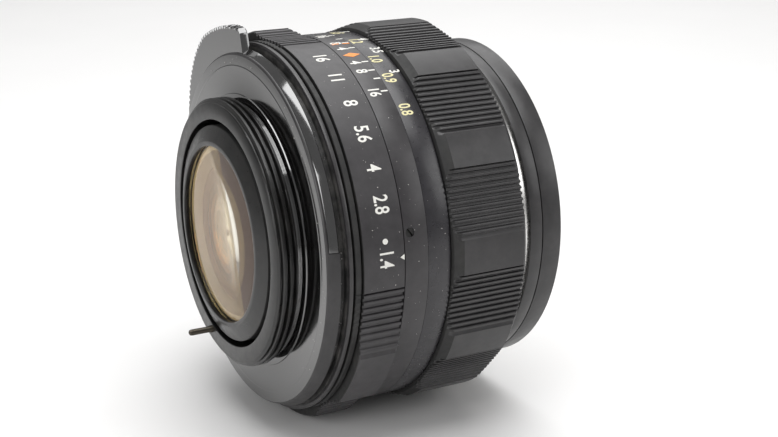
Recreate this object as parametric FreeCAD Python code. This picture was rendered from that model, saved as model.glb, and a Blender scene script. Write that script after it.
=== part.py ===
"""Manual-focus prime lens with a 42 mm screw mount, built from its separate pieces.

Frame: millimetres. The optical axis is Y, the front of the lens looks along -Y and the
mount points along +Y. The origin is the centre of the mount's flange face. The lens lies
on its side with +Z up. Angles are about the axis, from +Z towards +X, in degrees.
The focus is set to about one metre and the aperture ring to its smallest stop.
"""
import FreeCAD, Part
import math
import os
from FreeCAD import Vector

os.makedirs("parts", exist_ok=True)

# ---------------------------------------------------------------- driving dimensions
# Clearances
RUNNING = 0.05            # radial clearance of a turning or sliding fit
GAP = 0.05                # axial clearance beside a turning piece
FREE = 0.1                # clearance beside a piece that must not touch
SEAM = 0.15               # visible joint line between two rings
CUT = 1.0                 # how far a cutting tool runs past the piece it cuts

# Angular layout
INDEX_ANGLE = -18.0       # focus and aperture index
PIN_ANGLE = INDEX_ANGLE + 180.0

# Screw mount
THREAD_R = 21.0           # crest radius of the 42 mm mount thread
THREAD_PITCH = 1.0
THREAD_DEPTH = 0.65
THREAD_CREST_WIDTH = 0.22
BOSS_LENGTH = 4.24        # from the flange face to the rear end
BOSS_WALL = 3.25          # from the thread's crests to the bore
LEAD_CHAMFER = 0.55
LEAD_CHAMFER_DROP = 0.8
UNDERCUT = 1.1            # least length of the plain foot of the thread
SHOULDER_RISE = 0.4       # low step round the foot of the thread
SHOULDER_HEIGHT = 0.2
FLANGE_WIDTH = 6.5        # from the thread's crests to the flange's edge
FLANGE_BEVEL = 1.5
FLANGE_BEVEL_DROP = 0.22
MOUNT_THICKNESS = 2.0
MOUNT_FLARE = 0.7         # widening of the mount's conical edge
MOUNT_SCREW_ANGLES = [105.0, 150.0, 205.0, 250.0]
MOUNT_SCREW_INSET = 1.5   # from the edge of the narrower piece to a screw's axis
MOUNT_SCREW_R = 0.8
MOUNT_SCREW_HEAD_R = 1.2
MOUNT_SCREW_HEAD_T = 0.5
MOUNT_SCREW_SLOT_W = 0.35
MOUNT_SCREW_SLOT_DEPTH = 0.3
MOUNT_SCREW_SKIN = 0.7    # metal left over a screw's tip

# Automatic / manual switch
SWITCH_DEPTH = 0.6        # top of the switch plate below the flange face
SWITCH_WIDTH = 2.8        # from the flange's edge to the plate's inner edge
SWITCH_START = -81.8
SWITCH_END = 68.0
SWITCH_TRAVEL = 15.0
SWITCH_START_GAP = 0.2    # free angle of the recess at each end of the plate's travel
SWITCH_END_GAP = 2.0
LOBE_START = 5.0
LOBE_END = 64.0
LOBE_PEAK_ANGLE = 33.0
LOBE_PEAK = 5.4           # lobe height over the flange's edge
LOBE_HEEL = 3.9           # height of its blunt end
LOBE_NOSE = 1.5           # half the angle of that end's rounding

# Rings of the barrel, from the inside out
HELICOID_R = 26.0         # meeting radius of the two helicoids
BARREL_WALL_T = 1.4       # inner helicoid
TUBE_T = 0.85             # guide tube
FOCUS_WALL_T = 1.85       # outer helicoid
SCALE_T = 1.4             # distance scale ring
SLEEVE_T = 0.85           # sleeve under the aperture ring
SLEEVE_DROP = 0.65        # step from the outer helicoid down to the sleeve
HILL_RISE = 1.3           # hills of the aperture ring over the number band
APERTURE_VALLEY_RISE = 0.1
GRIP_RISE = 1.2           # hills of the focus grip over the scale
GRIP_VALLEY_RISE = 0.25

# Main barrel
REAR_WALL_T = 1.5
REAR_LIP_DROP = 0.35      # rear lip below the number band
REAR_LIP_T = 0.6
REAR_WALL_INSET = 0.3     # rear wall's edge inside the flange's edge
REAR_WALL_RIM = 0.7       # least wall each side of the guide tube
REAR_WALL_WIDTH = 1.55    # wall inside the switch plate
TUBE_LENGTH = 28.45
WEB_T = 1.5

# Aperture ring
APERTURE_GAP = 0.35
APERTURE_LENGTH = 7.75
BAND_START = -94.5
BAND_END = -6.0
APERTURE_HILLS = 6
APERTURE_HILL_ANGLE = 22.5
APERTURE_FLANGE_CLEAR = 0.45
APERTURE_FLANGE_T = 0.95
APERTURE_GROOVE_INSET = 1.0
APERTURE_GROOVE_W = 0.35
APERTURE_GROOVE_DEPTH = 0.45
HILL_CHAMFER = 1.3
STOP_ANGLE = 10.4         # ring travel for one stop
STOP_CLICKS = [0, 1, 2, 3, 4, 5, 6, 6.5]
CLICK_BALL_R = 0.6
CLICK_ANGLE = 100.0
CLICK_SCREW_ANGLE = 121.0
CLICK_INSET = 4.6
CLICK_DROP = 0.02         # ball's top below the sleeve's outside
CLICK_HOLE_CLEAR = 0.03
CLICK_NOTCH_R = 0.45
CLICK_NOTCH_DEPTH = 0.3   # notch's deepest point beyond the bore
CLICK_LEAF_T = 0.2
CLICK_LEAF_W = 1.2
CLICK_LEAF_SWEEP = 27.0
CLICK_FOOT_SWEEP = 6.0
CLICK_SCREW_R = 0.4
CLICK_SCREW_REACH = 0.5   # screw inside the leaf's outer face

# Depth scale ring
DOF_LENGTH = 3.8
SET_SCREW_R = 0.7
SET_SCREW_INSET = 1.0
SET_SCREW_SUNK = 0.12
SET_SCREW_SLOT_W = 0.3
SET_SCREW_SLOT_DEPTH = 0.35
SET_SCREW_SLOT_ANGLE = 35.0
DOG_R = 0.35              # point that enters the sleeve
DOG_LENGTH = 0.4
SET_SCREW_ANGLES = [-79.0, 41.0, 161.0]

# Focus ring group
SCALE_LENGTH = 3.65
GRIP_LENGTH = 12.69
GRIP_PERIODS = 12
GRIP_HILL_ANGLE = 11.0
GRIP_HILL_CENTRE = -58.0
GRIP_REAR_CHAMFER = 1.5
GRIP_REAR_CHAMFER_DROP = 0.95
GRIP_FRONT_CHAMFER = 0.8
FOCUS_LIP_T = 0.8
FOCUS_LIP_CLEAR = 0.2
LOCK_RING_WIDTH = 1.1
LOCK_RING_T = 0.9
LOCK_NOTCH_W = 1.2
LOCK_NOTCH_DEPTH = 0.4
RETAINER_T = 0.55
FOCUS_BACK = 73.0         # ring travel from rest to infinity, degrees
FOCUS_NEAR = 124.0        # ring travel from rest to the closest focus, degrees
STOP_PIN_R = 0.35
STOP_PIN_ANGLE = 40.0
STOP_PIN_INSET = 0.4      # from the lip's bore to the pin's axis
STOP_PIN_SET = 1.0        # depth of the pin in the web
STOP_PIN_PLAY = 0.15

# Sliding optics barrel
BARREL_LENGTH = 15.3
BARREL_REACH = 3.16       # the bright barrel beyond the grip, at rest
KEY_WIDTH = 3.0
KEY_SLOT_LAND = 0.8       # from the barrel's front wall to the end of a key slot
KEY_HEIGHT = 0.8
KEY_SCREW_R = 0.5
KEY_LENGTH = 7.0
KEY_INSET = 1.0
KEY_SCREW_INSET = 1.5
KEY_SCREW_SUNK = 0.15
KEY_SCREW_SLOT = 0.25
KEY_ANGLES = [-90.0, 90.0]
DRIVE_SPACE = 1.35        # between the lens barrel and the guide tube
LENS_BARREL_T = 0.65
FRONT_RISE = 0.4          # black front rings over the bright barrel
COLLAR_LENGTH = 2.15
FILTER_LENGTH = 3.54
FILTER_THREAD_DROP = 2.3  # from the front ring's outside to the thread
FILTER_THREAD_PITCH = 0.75
FILTER_THREAD_DEPTH = 0.4
FILTER_GROOVES = 2
FILTER_SEAT = 0.45        # front ring behind the name ring's seat
FILTER_RELIEF = 0.9

# Diaphragm
BLADES = 6
BLADE_PIVOT_INSET = 1.3   # from the housing's bore to a blade's pivot
BLADE_R_IN = 13.6
BLADE_EDGE_INSET = 1.3    # from a blade's pivot to the leaf's outer edge
BLADE_T = 0.12
BLADE_STEP = 0.16
BLADE_SPACE = 0.19        # between the blades and the cam ring
BLADE_SPAN = 140.0
BLADE_HEEL = 10.0         # leaf behind the pivot, degrees
BLADE_CLOSE = 33.0
BLADE_PIN_R = 0.4
PIVOT_CLEAR = 0.03
CAM_SLOT_CLEAR = 0.06
BLADE_EAR_R = 0.95
DRIVE_PIN_OFFSET = 10.5   # angle from a blade's pivot to its drive pin
DRIVE_PIN_DROP = 0.7      # drive pins inside the pivots' circle
STOP_OPENING_DROP = 0.4   # fixed opening inside the open blades
HOUSING_REAR = -15.0
HOUSING_T = 0.8
HOUSING_WALL_T = 0.85
COVER_T = 0.75
COVER_SCREW_R = 0.3
COVER_SCREW_GRIP = 1.2    # screw in the housing's wall
COVER_SCREW_ANGLES = [0.0, 120.0, 240.0]
CAM_T = 0.6
CAM_EDGE_RISE = 0.8       # cam ring's bore outside the fixed opening
PRONG_ANGLE = 75.0
PRONG_WIDTH = 2.0
FORK_CLEAR = 0.1
PRONG_REACH = 13.9
FORK_WALL = 1.4
WINDOW_CLEAR = 0.3

# Glass, from the front. Thickness at the axis, and the air behind each element
GLASS_PROUD = 0.6         # first vertex in front of the filter ring's floor
LENS_1_T = 5.0
LENS_1_AIR = 0.2
LENS_1_RIM = 18.8
LENS_2_T = 5.0
LENS_2_AIR = 1.4
LENS_2_RIM = 15.8
LENS_3_T = 1.6
LENS_3_RIM = 14.2
LENS_3_HOLLOW = 11.5      # clear radius of its hollow rear face
PAIR_SET_BACK = 3.9       # vertex of the cemented pair behind the housing
PAIR_FIRST_T = 1.6
PAIR_SECOND_T = 6.5
PAIR_AIR = 0.2
PAIR_HOLLOW_WIDTH = 2.8   # flat rim round its hollow front face
LENS_6_T = 3.6
LENS_6_AIR = 0.2
LENS_7_T = 3.9
REAR_CELL_CLEAR = 0.85    # between the rear cell and the mount's bore
REAR_CELL_WALL = 2.9      # round the last element
LENS_6_STEP = 0.4         # each seat is this much smaller than the one behind it
PAIR_STEP = 0.8
SECOND_RING_STEP = 0.8    # its thread outside the element's edge
SECOND_RING_T = 1.2
CELL_STOP_R = 12.4        # bore of the front cell behind its glass
PAIR_SEAT = 0.8           # width of the pair's seat
RING_WALL = 0.6           # wall of a retaining ring or spacer
REAR_CELL_SEAT = 0.1      # last element's edge behind the cell's end
REAR_CELL_FLANGE = 1.6
REAR_CELL_FLANGE_T = 1.4
REAR_LIP_OVERLAP = 0.25   # over the glass
REAR_LIP_OUT = 0.5        # its flat end, outside the element
REAR_LIP_LENGTH = 1.0     # retaining ring beyond the cell
NAME_RING_OVERLAP = 0.05
NAME_RING_STEP = 1.2
NAME_RING_EDGE = 0.7
FRONT_RING_T = 1.048      # first element's retaining ring
NAME_RING_LIP = 1.8       # height of the bezel's bore
CELL_SET_BACK = 0.8       # front cell's end behind the filter ring's floor

# Stop-down linkage
PIN_R = 0.6
PIN_INSET = 0.85          # from the boss's bore to the pin's axis
PIN_REACH = 4.01          # pin beyond the boss
PIN_ARM = 5.2             # from the crank's pivot to the pin's axis
PIN_ARM_REACH = 1.0       # arm beyond the pin's axis
CLIP_RISE = 0.45
CLIP_T = 0.3
CRANK_SWING = 19.5        # each side of square
CRANK_DROP = 3.4          # pivot below the front of the mount
CRANK_HALF_T = 0.5
CRANK_HUB_WALL = 0.55
CRANK_PIVOT_R = 0.8
CRANK_HEAD_RISE = 0.4
CRANK_ARM = 5.6           # from the pivot to the middle of the stop-down ring
CRANK_ARM_REACH = 0.9     # arm beyond the middle of the ring
CRANK_HUB_SIDE = 1.15     # hub's inner end inside the pin's axis
CRANK_HUB_SPACE = 2.1     # between the hub and the guide tube
CRANK_HEAD_T = 0.25
CRANK_PLATE_T = 1.2
STOP_DOWN_WIDTH = 4.6     # from the ring's bore to its edge
STOP_DOWN_T = 1.2
STOP_DOWN_SLOT = 1.7
SLOT_END_CLEAR = 0.4
CIRCLIP_T = 0.4
CIRCLIP_RISE = 0.25       # circlip's bore outside the lens barrel
SPRING_WIRE_R = 0.16
SPRING_TURNS = 3
SPRING_PITCH = 0.352

# ---------------------------------------------------------------- derived sizes
BOSS_BORE_R = THREAD_R - BOSS_WALL
THREAD_CRESTS = int((BOSS_LENGTH - LEAD_CHAMFER - UNDERCUT) / THREAD_PITCH) + 1
FLANGE_R = THREAD_R + FLANGE_WIDTH
MOUNT_BAND_R = FLANGE_R + MOUNT_FLARE
SWITCH_INNER_R = FLANGE_R - SWITCH_WIDTH
TUBE_R_OUT = HELICOID_R - BARREL_WALL_T - RUNNING
TUBE_R_IN = TUBE_R_OUT - TUBE_T
FOCUS_SLEEVE_R = HELICOID_R + RUNNING + FOCUS_WALL_T
SLEEVE_R_OUT = FOCUS_SLEEVE_R - SLEEVE_DROP
SLEEVE_R_IN = SLEEVE_R_OUT - SLEEVE_T
BAND_R = FOCUS_SLEEVE_R + SCALE_T
HILL_R = BAND_R + HILL_RISE
APERTURE_VALLEY_R = BAND_R + APERTURE_VALLEY_RISE
GRIP_R = BAND_R + GRIP_RISE
GRIP_VALLEY_R = BAND_R + GRIP_VALLEY_RISE
REAR_LIP_R = BAND_R - REAR_LIP_DROP
MOUNT_SCREW_AXIS_R = min(FLANGE_R, REAR_LIP_R) - MOUNT_SCREW_INSET
REAR_WALL_R = max(FLANGE_R - REAR_WALL_INSET, TUBE_R_OUT + REAR_WALL_RIM)
REAR_WALL_BORE_R = min(TUBE_R_IN - REAR_WALL_RIM, SWITCH_INNER_R - REAR_WALL_WIDTH)
FOCUS_LIP_R = TUBE_R_OUT + FOCUS_LIP_CLEAR
FOCUS_STOP_R = FOCUS_LIP_R + STOP_PIN_INSET
LOCK_RING_R = FOCUS_SLEEVE_R + LOCK_RING_WIDTH
LENS_BARREL_R = TUBE_R_IN - DRIVE_SPACE
LENS_BARREL_BORE = LENS_BARREL_R - LENS_BARREL_T
HOUSING_BORE_R = LENS_BARREL_R - HOUSING_WALL_T
CAM_R_OUT = HOUSING_BORE_R - SEAM
CIRCLIP_R_IN = LENS_BARREL_R + CIRCLIP_RISE
PRONG_R_IN = LENS_BARREL_R + SEAM
PRONG_R_OUT = TUBE_R_IN - CIRCLIP_RISE
FRONT_R = HELICOID_R + FRONT_RISE
FILTER_THREAD_R = FRONT_R - FILTER_THREAD_DROP
FILTER_RELIEF_R = FILTER_THREAD_R + FILTER_THREAD_DEPTH + FREE
BLADE_PIVOT_R = HOUSING_BORE_R - BLADE_PIVOT_INSET
BLADE_R_OUT = BLADE_PIVOT_R - BLADE_EDGE_INSET
DRIVE_PIN_RADIUS = BLADE_PIVOT_R - DRIVE_PIN_DROP
STOP_OPENING_R = BLADE_R_IN - STOP_OPENING_DROP
CAM_R_IN = STOP_OPENING_R + CAM_EDGE_RISE
PIN_AXIS_R = BOSS_BORE_R + PIN_INSET
CRANK_HUB_R = CRANK_PIVOT_R + RUNNING + CRANK_HUB_WALL
CRANK_HUB_IN = PIN_AXIS_R - CRANK_HUB_SIDE
CRANK_HUB_OUT = TUBE_R_IN - CRANK_HUB_SPACE
STOP_DOWN_R_OUT = TUBE_R_IN - FREE
STOP_DOWN_R_IN = STOP_DOWN_R_OUT - STOP_DOWN_WIDTH
REAR_CELL_R = BOSS_BORE_R - REAR_CELL_CLEAR
LENS_7_RIM = REAR_CELL_R - REAR_CELL_WALL
LENS_6_RIM = LENS_7_RIM - LENS_6_STEP
PAIR_RIM = LENS_6_RIM - PAIR_STEP
REAR_CELL_FLANGE_R = REAR_CELL_R + REAR_CELL_FLANGE
NAME_RING_BORE_R = LENS_1_RIM - NAME_RING_OVERLAP
NAME_RING_SEAT_R = LENS_1_RIM + NAME_RING_STEP

# ---------------------------------------------------------------- places along the axis
MOUNT_FRONT = -MOUNT_THICKNESS
MOUNT_SCREW_TIP = -MOUNT_SCREW_SKIN
WALL_REAR = MOUNT_FRONT - GAP
WALL_FRONT = WALL_REAR - REAR_WALL_T
TUBE_FRONT = WALL_REAR - TUBE_LENGTH
APERTURE_REAR = WALL_FRONT - APERTURE_GAP
APERTURE_FRONT = APERTURE_REAR - APERTURE_LENGTH
APERTURE_GROOVE_Y = APERTURE_REAR - APERTURE_GROOVE_INSET
CLICK_Y = APERTURE_REAR - CLICK_INSET
SLEEVE_REAR = APERTURE_REAR - APERTURE_FLANGE_T - 0.2
DOF_REAR = APERTURE_FRONT - FREE
DOF_FRONT = DOF_REAR - DOF_LENGTH
SET_SCREW_Y = DOF_REAR - SET_SCREW_INSET
WEB_FRONT = DOF_FRONT
WEB_REAR = WEB_FRONT + WEB_T
SCALE_REAR = DOF_FRONT - FREE
SCALE_FRONT = SCALE_REAR - SCALE_LENGTH
FOCUS_LIP_FRONT = SCALE_REAR - FOCUS_LIP_T
RETAINER_REAR = FOCUS_LIP_FRONT - GAP
GRIP_REAR = SCALE_FRONT - SEAM
GRIP_FRONT = GRIP_REAR - GRIP_LENGTH
LOCK_RING_FRONT = GRIP_FRONT + FREE
BARREL_FRONT = GRIP_FRONT - BARREL_REACH
BARREL_REAR = BARREL_FRONT + BARREL_LENGTH
KEY_REAR = BARREL_REAR - KEY_INSET
KEY_FRONT = KEY_REAR - KEY_LENGTH
COLLAR_FRONT = BARREL_FRONT - COLLAR_LENGTH
FILTER_REAR = COLLAR_FRONT - FREE
FRONT_END = FILTER_REAR - FILTER_LENGTH
FILTER_FLOOR = FILTER_REAR - FILTER_SEAT
FILTER_THREAD_REAR = FILTER_FLOOR - FILTER_RELIEF
FRONT_CELL_END = FILTER_FLOOR + CELL_SET_BACK
BLADE_FIRST = HOUSING_REAR - HOUSING_T - FREE
CAM_REAR = BLADE_FIRST - BLADES * BLADE_STEP - BLADE_SPACE
CAM_FRONT = CAM_REAR - CAM_T
COVER_REAR = CAM_FRONT - FREE
COVER_FRONT = COVER_REAR - COVER_T
PIN_TIP = BOSS_LENGTH + PIN_REACH
CRANK_Y = MOUNT_FRONT - CRANK_DROP
CRANK_ANGLE = PIN_ANGLE - math.degrees(math.asin(PIN_ARM / PIN_AXIS_R))
CRANK_ARM_U = CRANK_HUB_OUT - CRANK_PLATE_T / 2
RING_SWING = math.degrees(math.atan(CRANK_ARM * math.tan(math.radians(CRANK_SWING)) / CRANK_ARM_U))
STOP_DOWN_MID = CRANK_Y - CRANK_ARM
STOP_DOWN_TURN = 2 * RING_SWING
PRONG_FRONT = STOP_DOWN_MID - STOP_DOWN_T / 2 - PRONG_REACH

# ---------------------------------------------------------------- glass surfaces
# Each is (vertex, radius of curvature, clear radius)
LENS_1_FRONT = (FILTER_FLOOR - GLASS_PROUD, 42.0, LENS_1_RIM)
LENS_1_REAR = (LENS_1_FRONT[0] + LENS_1_T, 300.0, LENS_1_RIM)
LENS_2_FRONT = (LENS_1_REAR[0] + LENS_1_AIR, 23.5, LENS_2_RIM)
LENS_2_REAR = (LENS_2_FRONT[0] + LENS_2_T, 62.0, LENS_2_RIM)
LENS_3_FRONT = (LENS_2_REAR[0] + LENS_2_AIR, 90.0, LENS_3_RIM)
LENS_3_REAR = (LENS_3_FRONT[0] + LENS_3_T, 17.0, LENS_3_HOLLOW)
PAIR_FRONT = (HOUSING_REAR + PAIR_SET_BACK, -17.0, PAIR_RIM - PAIR_HOLLOW_WIDTH)
PAIR_JOINT = (PAIR_FRONT[0] + PAIR_FIRST_T, 60.0, PAIR_RIM)
PAIR_REAR = (PAIR_JOINT[0] + PAIR_SECOND_T, -28.0, PAIR_RIM)
LENS_6_FRONT = (PAIR_REAR[0] + PAIR_AIR, -150.0, LENS_6_RIM)
LENS_6_REAR = (LENS_6_FRONT[0] + LENS_6_T, -38.0, LENS_6_RIM)
LENS_7_FRONT = (LENS_6_REAR[0] + LENS_6_AIR, 110.0, LENS_7_RIM)
LENS_7_REAR = (LENS_7_FRONT[0] + LENS_7_T, -140.0, LENS_7_RIM)

AXIS = Vector(0, 1, 0)
ORIGIN = Vector(0, 0, 0)


# ---------------------------------------------------------------- geometry helpers
def polar(radius, angle, y=0.0):
    """Point at a radius and an angle about the optical axis."""
    a = math.radians(angle)
    return Vector(radius * math.sin(a), y, radius * math.cos(a))


def spun(shape, angle):
    """Copy of a shape turned about the optical axis."""
    copy = shape.copy()
    copy.rotate(ORIGIN, AXIS, angle)
    return copy


def swept(profile, start=0.0, sweep=360.0):
    """Solid of revolution about the axis from a closed outline of (radius, y) points."""
    points = [Vector(0, y, r) for r, y in profile]
    face = Part.Face(Part.makePolygon(points + points[:1]))
    return spun(face.revolve(ORIGIN, AXIS, sweep), start)


def ring(r_in, r_out, y_front, y_rear, start=0.0, sweep=360.0):
    """Plain ring or arc-shaped bar with a rectangular section."""
    return swept([(r_in, y_front), (r_out, y_front), (r_out, y_rear), (r_in, y_rear)], start, sweep)


def rod(radius, base, direction, length):
    """Round bar from a point along a direction."""
    return Part.makeCylinder(radius, length, base, direction)


def radial_rod(radius, angle, y, r_from, r_to):
    """Round bar that points away from the axis."""
    return rod(radius, polar(r_from, angle, y), polar(1, angle), r_to - r_from)


def axial_rod(radius, axis_r, angle, y_front, y_rear):
    """Round bar parallel to the axis."""
    return rod(radius, polar(axis_r, angle, y_front), AXIS, y_rear - y_front)


def radial_block(width, y_front, y_rear, r_from, r_to, angle):
    """Square block that points away from the axis, with its width along the circumference."""
    block = Part.makeBox(width, y_rear - y_front, r_to - r_from, Vector(-width / 2, y_front, r_from))
    return spun(block, angle)


def outline_solid(edges, y_front, y_rear):
    """Prism along the axis from a closed outline in the plane across it."""
    wire = Part.Wire(Part.__sortEdges__(edges))
    wire.translate(Vector(0, y_front, 0))
    return Part.Face(wire).extrude(Vector(0, y_rear - y_front, 0))


def arc(p1, p2, p3):
    """Arc edge through three (radius, angle) points."""
    return Part.Arc(polar(*p1), polar(*p2), polar(*p3)).toShape()


def line(p1, p2):
    """Straight edge between two (radius, angle) points."""
    return Part.LineSegment(polar(*p1), polar(*p2)).toShape()


def surface_y(surface, height):
    """Place along the axis of a glass surface (vertex, radius of curvature, clear radius)."""
    vertex, curve = surface[:2]
    return vertex + math.copysign(abs(curve) - math.sqrt(curve ** 2 - height ** 2), curve)


def lens(rim_r, front, rear):
    """Glass element. A curvature is positive when its centre lies to the rear.

    Beyond its clear radius a surface goes on to the rim as a flat.
    """
    front_y = surface_y(front, front[2])
    rear_y = surface_y(rear, rear[2])
    corners = [Vector(0, front_y, front[2]), Vector(0, front_y, rim_r), Vector(0, rear_y, rim_r),
               Vector(0, rear_y, rear[2])]
    front_mid = Vector(0, surface_y(front, front[2] / 2), front[2] / 2)
    rear_mid = Vector(0, surface_y(rear, rear[2] / 2), rear[2] / 2)
    front_vertex = Vector(0, front[0], 0)
    rear_vertex = Vector(0, rear[0], 0)
    edges = [Part.Arc(front_vertex, front_mid, corners[0]).toShape()]
    for a, b in zip(corners, corners[1:]):
        if a.distanceToPoint(b) > 1e-6:
            edges.append(Part.LineSegment(a, b).toShape())
    edges.append(Part.Arc(corners[-1], rear_mid, rear_vertex).toShape())
    edges.append(Part.LineSegment(rear_vertex, front_vertex).toShape())
    return Part.Face(Part.Wire(edges)).revolve(ORIGIN, AXIS, 360)


def slotted_screw(radius, length, slot_width, slot_depth):
    """Headless screw along +Z from the origin, with its slot in the far end."""
    body = Part.makeCylinder(radius, length)
    slot = Part.makeBox(2 * radius + 1, slot_width, slot_depth + 1,
                        Vector(-radius - 0.5, -slot_width / 2, length - slot_depth))
    return body.cut(slot)


def export(name, *solids):
    """Write one piece, or one group of like pieces, to its own STEP file."""
    shape = solids[0] if len(solids) == 1 else Part.makeCompound(list(solids))
    if not shape.isValid():
        raise ValueError("bad solid: " + name)
    shape.exportStep("parts/" + name + ".step")


# ---------------------------------------------------------------- fixed barrel
def mount_plate():
    """Flange with its threaded boss, cut away on one side for the switch plate."""
    root_r = THREAD_R - THREAD_DEPTH
    half_crest = THREAD_CREST_WIDTH / 2
    half_pitch = THREAD_PITCH / 2
    shoulder_r = THREAD_R + SHOULDER_RISE
    first_crest = BOSS_LENGTH - LEAD_CHAMFER - half_crest
    outline = [(BOSS_BORE_R, BOSS_LENGTH), (THREAD_R - LEAD_CHAMFER_DROP, BOSS_LENGTH)]
    for turn in range(THREAD_CRESTS):
        crest = first_crest - turn * THREAD_PITCH
        outline += [(THREAD_R, crest + half_crest), (THREAD_R, crest - half_crest)]
        outline.append((root_r, crest - half_pitch))
    outline += [(root_r, SHOULDER_HEIGHT), (shoulder_r, SHOULDER_HEIGHT), (shoulder_r, 0)]
    outline += [(FLANGE_R - FLANGE_BEVEL, 0), (FLANGE_R, -FLANGE_BEVEL_DROP)]
    outline += [(MOUNT_BAND_R, MOUNT_FRONT), (BOSS_BORE_R, MOUNT_FRONT)]
    body = swept(outline)
    recess_start = SWITCH_START - SWITCH_START_GAP
    recess_sweep = SWITCH_END + SWITCH_TRAVEL + SWITCH_END_GAP - recess_start
    recess_top = GAP - SWITCH_DEPTH
    recess = ring(SWITCH_INNER_R - FREE, MOUNT_BAND_R + CUT, MOUNT_FRONT - CUT, recess_top,
                  recess_start, recess_sweep)
    pin_hole = axial_rod(PIN_R + RUNNING, PIN_AXIS_R, PIN_ANGLE, MOUNT_FRONT - CUT, BOSS_LENGTH + CUT)
    body = body.cut(recess).cut(pin_hole)
    for angle in MOUNT_SCREW_ANGLES:
        hole = axial_rod(MOUNT_SCREW_R, MOUNT_SCREW_AXIS_R, angle, MOUNT_FRONT - CUT, MOUNT_SCREW_TIP)
        body = body.cut(hole)
    return body


def mount_screw_head(angle):
    """Countersunk head in the front face of the rear wall."""
    place = polar(MOUNT_SCREW_AXIS_R, angle, WALL_FRONT)
    return Part.makeCone(MOUNT_SCREW_HEAD_R, MOUNT_SCREW_R, MOUNT_SCREW_HEAD_T, place, AXIS)


def mount_screws():
    """Countersunk screws that hold the barrel to the mount, from the front of its rear wall."""
    screws = []
    for angle in MOUNT_SCREW_ANGLES:
        head = mount_screw_head(angle)
        shank_front = WALL_FRONT + MOUNT_SCREW_HEAD_T
        shank = axial_rod(MOUNT_SCREW_R, MOUNT_SCREW_AXIS_R, angle, shank_front, MOUNT_SCREW_TIP)
        slot_in = MOUNT_SCREW_AXIS_R - MOUNT_SCREW_HEAD_R - FREE
        slot_out = MOUNT_SCREW_AXIS_R + MOUNT_SCREW_HEAD_R + FREE
        slot_floor = WALL_FRONT + MOUNT_SCREW_SLOT_DEPTH
        slot = radial_block(MOUNT_SCREW_SLOT_W, WALL_FRONT, slot_floor, slot_in, slot_out, angle)
        screws.append(head.fuse(shank).cut(slot).removeSplitter())
    return screws


def main_barrel():
    """Fixed barrel: rear wall, guide tube for the optics and sleeve for the aperture ring."""
    body = swept([
        (REAR_WALL_BORE_R, WALL_REAR), (REAR_WALL_BORE_R, WALL_FRONT), (TUBE_R_IN, WALL_FRONT),
        (TUBE_R_IN, TUBE_FRONT), (TUBE_R_OUT, TUBE_FRONT), (TUBE_R_OUT, WEB_FRONT),
        (SLEEVE_R_OUT, WEB_FRONT), (SLEEVE_R_OUT, SLEEVE_REAR), (SLEEVE_R_IN, SLEEVE_REAR),
        (SLEEVE_R_IN, WEB_REAR), (TUBE_R_OUT, WEB_REAR), (TUBE_R_OUT, WALL_FRONT),
        (REAR_LIP_R, WALL_FRONT), (REAR_LIP_R, WALL_FRONT + REAR_LIP_T),
        (REAR_WALL_R, WALL_FRONT + REAR_LIP_T), (REAR_WALL_R, WALL_REAR),
    ])
    for angle in MOUNT_SCREW_ANGLES:
        body = body.cut(mount_screw_head(angle))
        body = body.cut(axial_rod(MOUNT_SCREW_R, MOUNT_SCREW_AXIS_R, angle, WALL_FRONT, WALL_REAR + CUT))
    body = body.cut(radial_rod(CRANK_PIVOT_R, CRANK_ANGLE, CRANK_Y, TUBE_R_IN - CUT, TUBE_R_OUT + CUT))
    ball_hole = radial_rod(CLICK_BALL_R + CLICK_HOLE_CLEAR, CLICK_ANGLE, CLICK_Y, SLEEVE_R_IN - CUT,
                           SLEEVE_R_OUT + CUT)
    body = body.cut(ball_hole)
    body = body.cut([click_spring_screw(), focus_stop_pin()] + guide_key_holes())
    for angle in SET_SCREW_ANGLES:
        hole = radial_rod(DOG_R, angle, SET_SCREW_Y, SLEEVE_R_OUT - DOG_LENGTH, SLEEVE_R_OUT + CUT)
        body = body.cut(hole)
    return body


def dof_ring():
    """Depth scale ring, held on the sleeve by three set screws."""
    body = ring(SLEEVE_R_OUT, BAND_R, DOF_FRONT, DOF_REAR)
    for angle in SET_SCREW_ANGLES:
        body = body.cut(radial_rod(SET_SCREW_R, angle, SET_SCREW_Y, SLEEVE_R_OUT - CUT, BAND_R + CUT))
    return body


def dof_set_screws():
    """Slotted set screws with dog points."""
    screws = []
    for angle in SET_SCREW_ANGLES:
        length = BAND_R - SET_SCREW_SUNK - SLEEVE_R_OUT
        body = slotted_screw(SET_SCREW_R, length, SET_SCREW_SLOT_W, SET_SCREW_SLOT_DEPTH)
        dog = Part.makeCylinder(DOG_R, DOG_LENGTH, Vector(0, 0, -DOG_LENGTH))
        body = body.fuse(dog).removeSplitter()
        body.rotate(ORIGIN, Vector(0, 0, 1), SET_SCREW_SLOT_ANGLE)
        body.translate(Vector(0, SET_SCREW_Y, SLEEVE_R_OUT))
        screws.append(spun(body, angle))
    return screws


def helicoid_retainer():
    """Ring on the guide tube that keeps the focus helicoid against the web."""
    return ring(TUBE_R_OUT, HELICOID_R - RUNNING, RETAINER_REAR - RETAINER_T, RETAINER_REAR)


def guide_keys():
    """Keys that let the optics barrel slide without turning."""
    keys = []
    for angle in KEY_ANGLES:
        key_r = TUBE_R_OUT + KEY_HEIGHT
        block = radial_block(KEY_WIDTH, KEY_FRONT, KEY_REAR, TUBE_R_OUT - CUT, key_r, angle)
        block = block.cut(ring(TUBE_R_OUT - 2, TUBE_R_OUT, KEY_FRONT - CUT, KEY_REAR + CUT))
        keys.append(block.cut(guide_key_holes()))
    return keys


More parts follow.
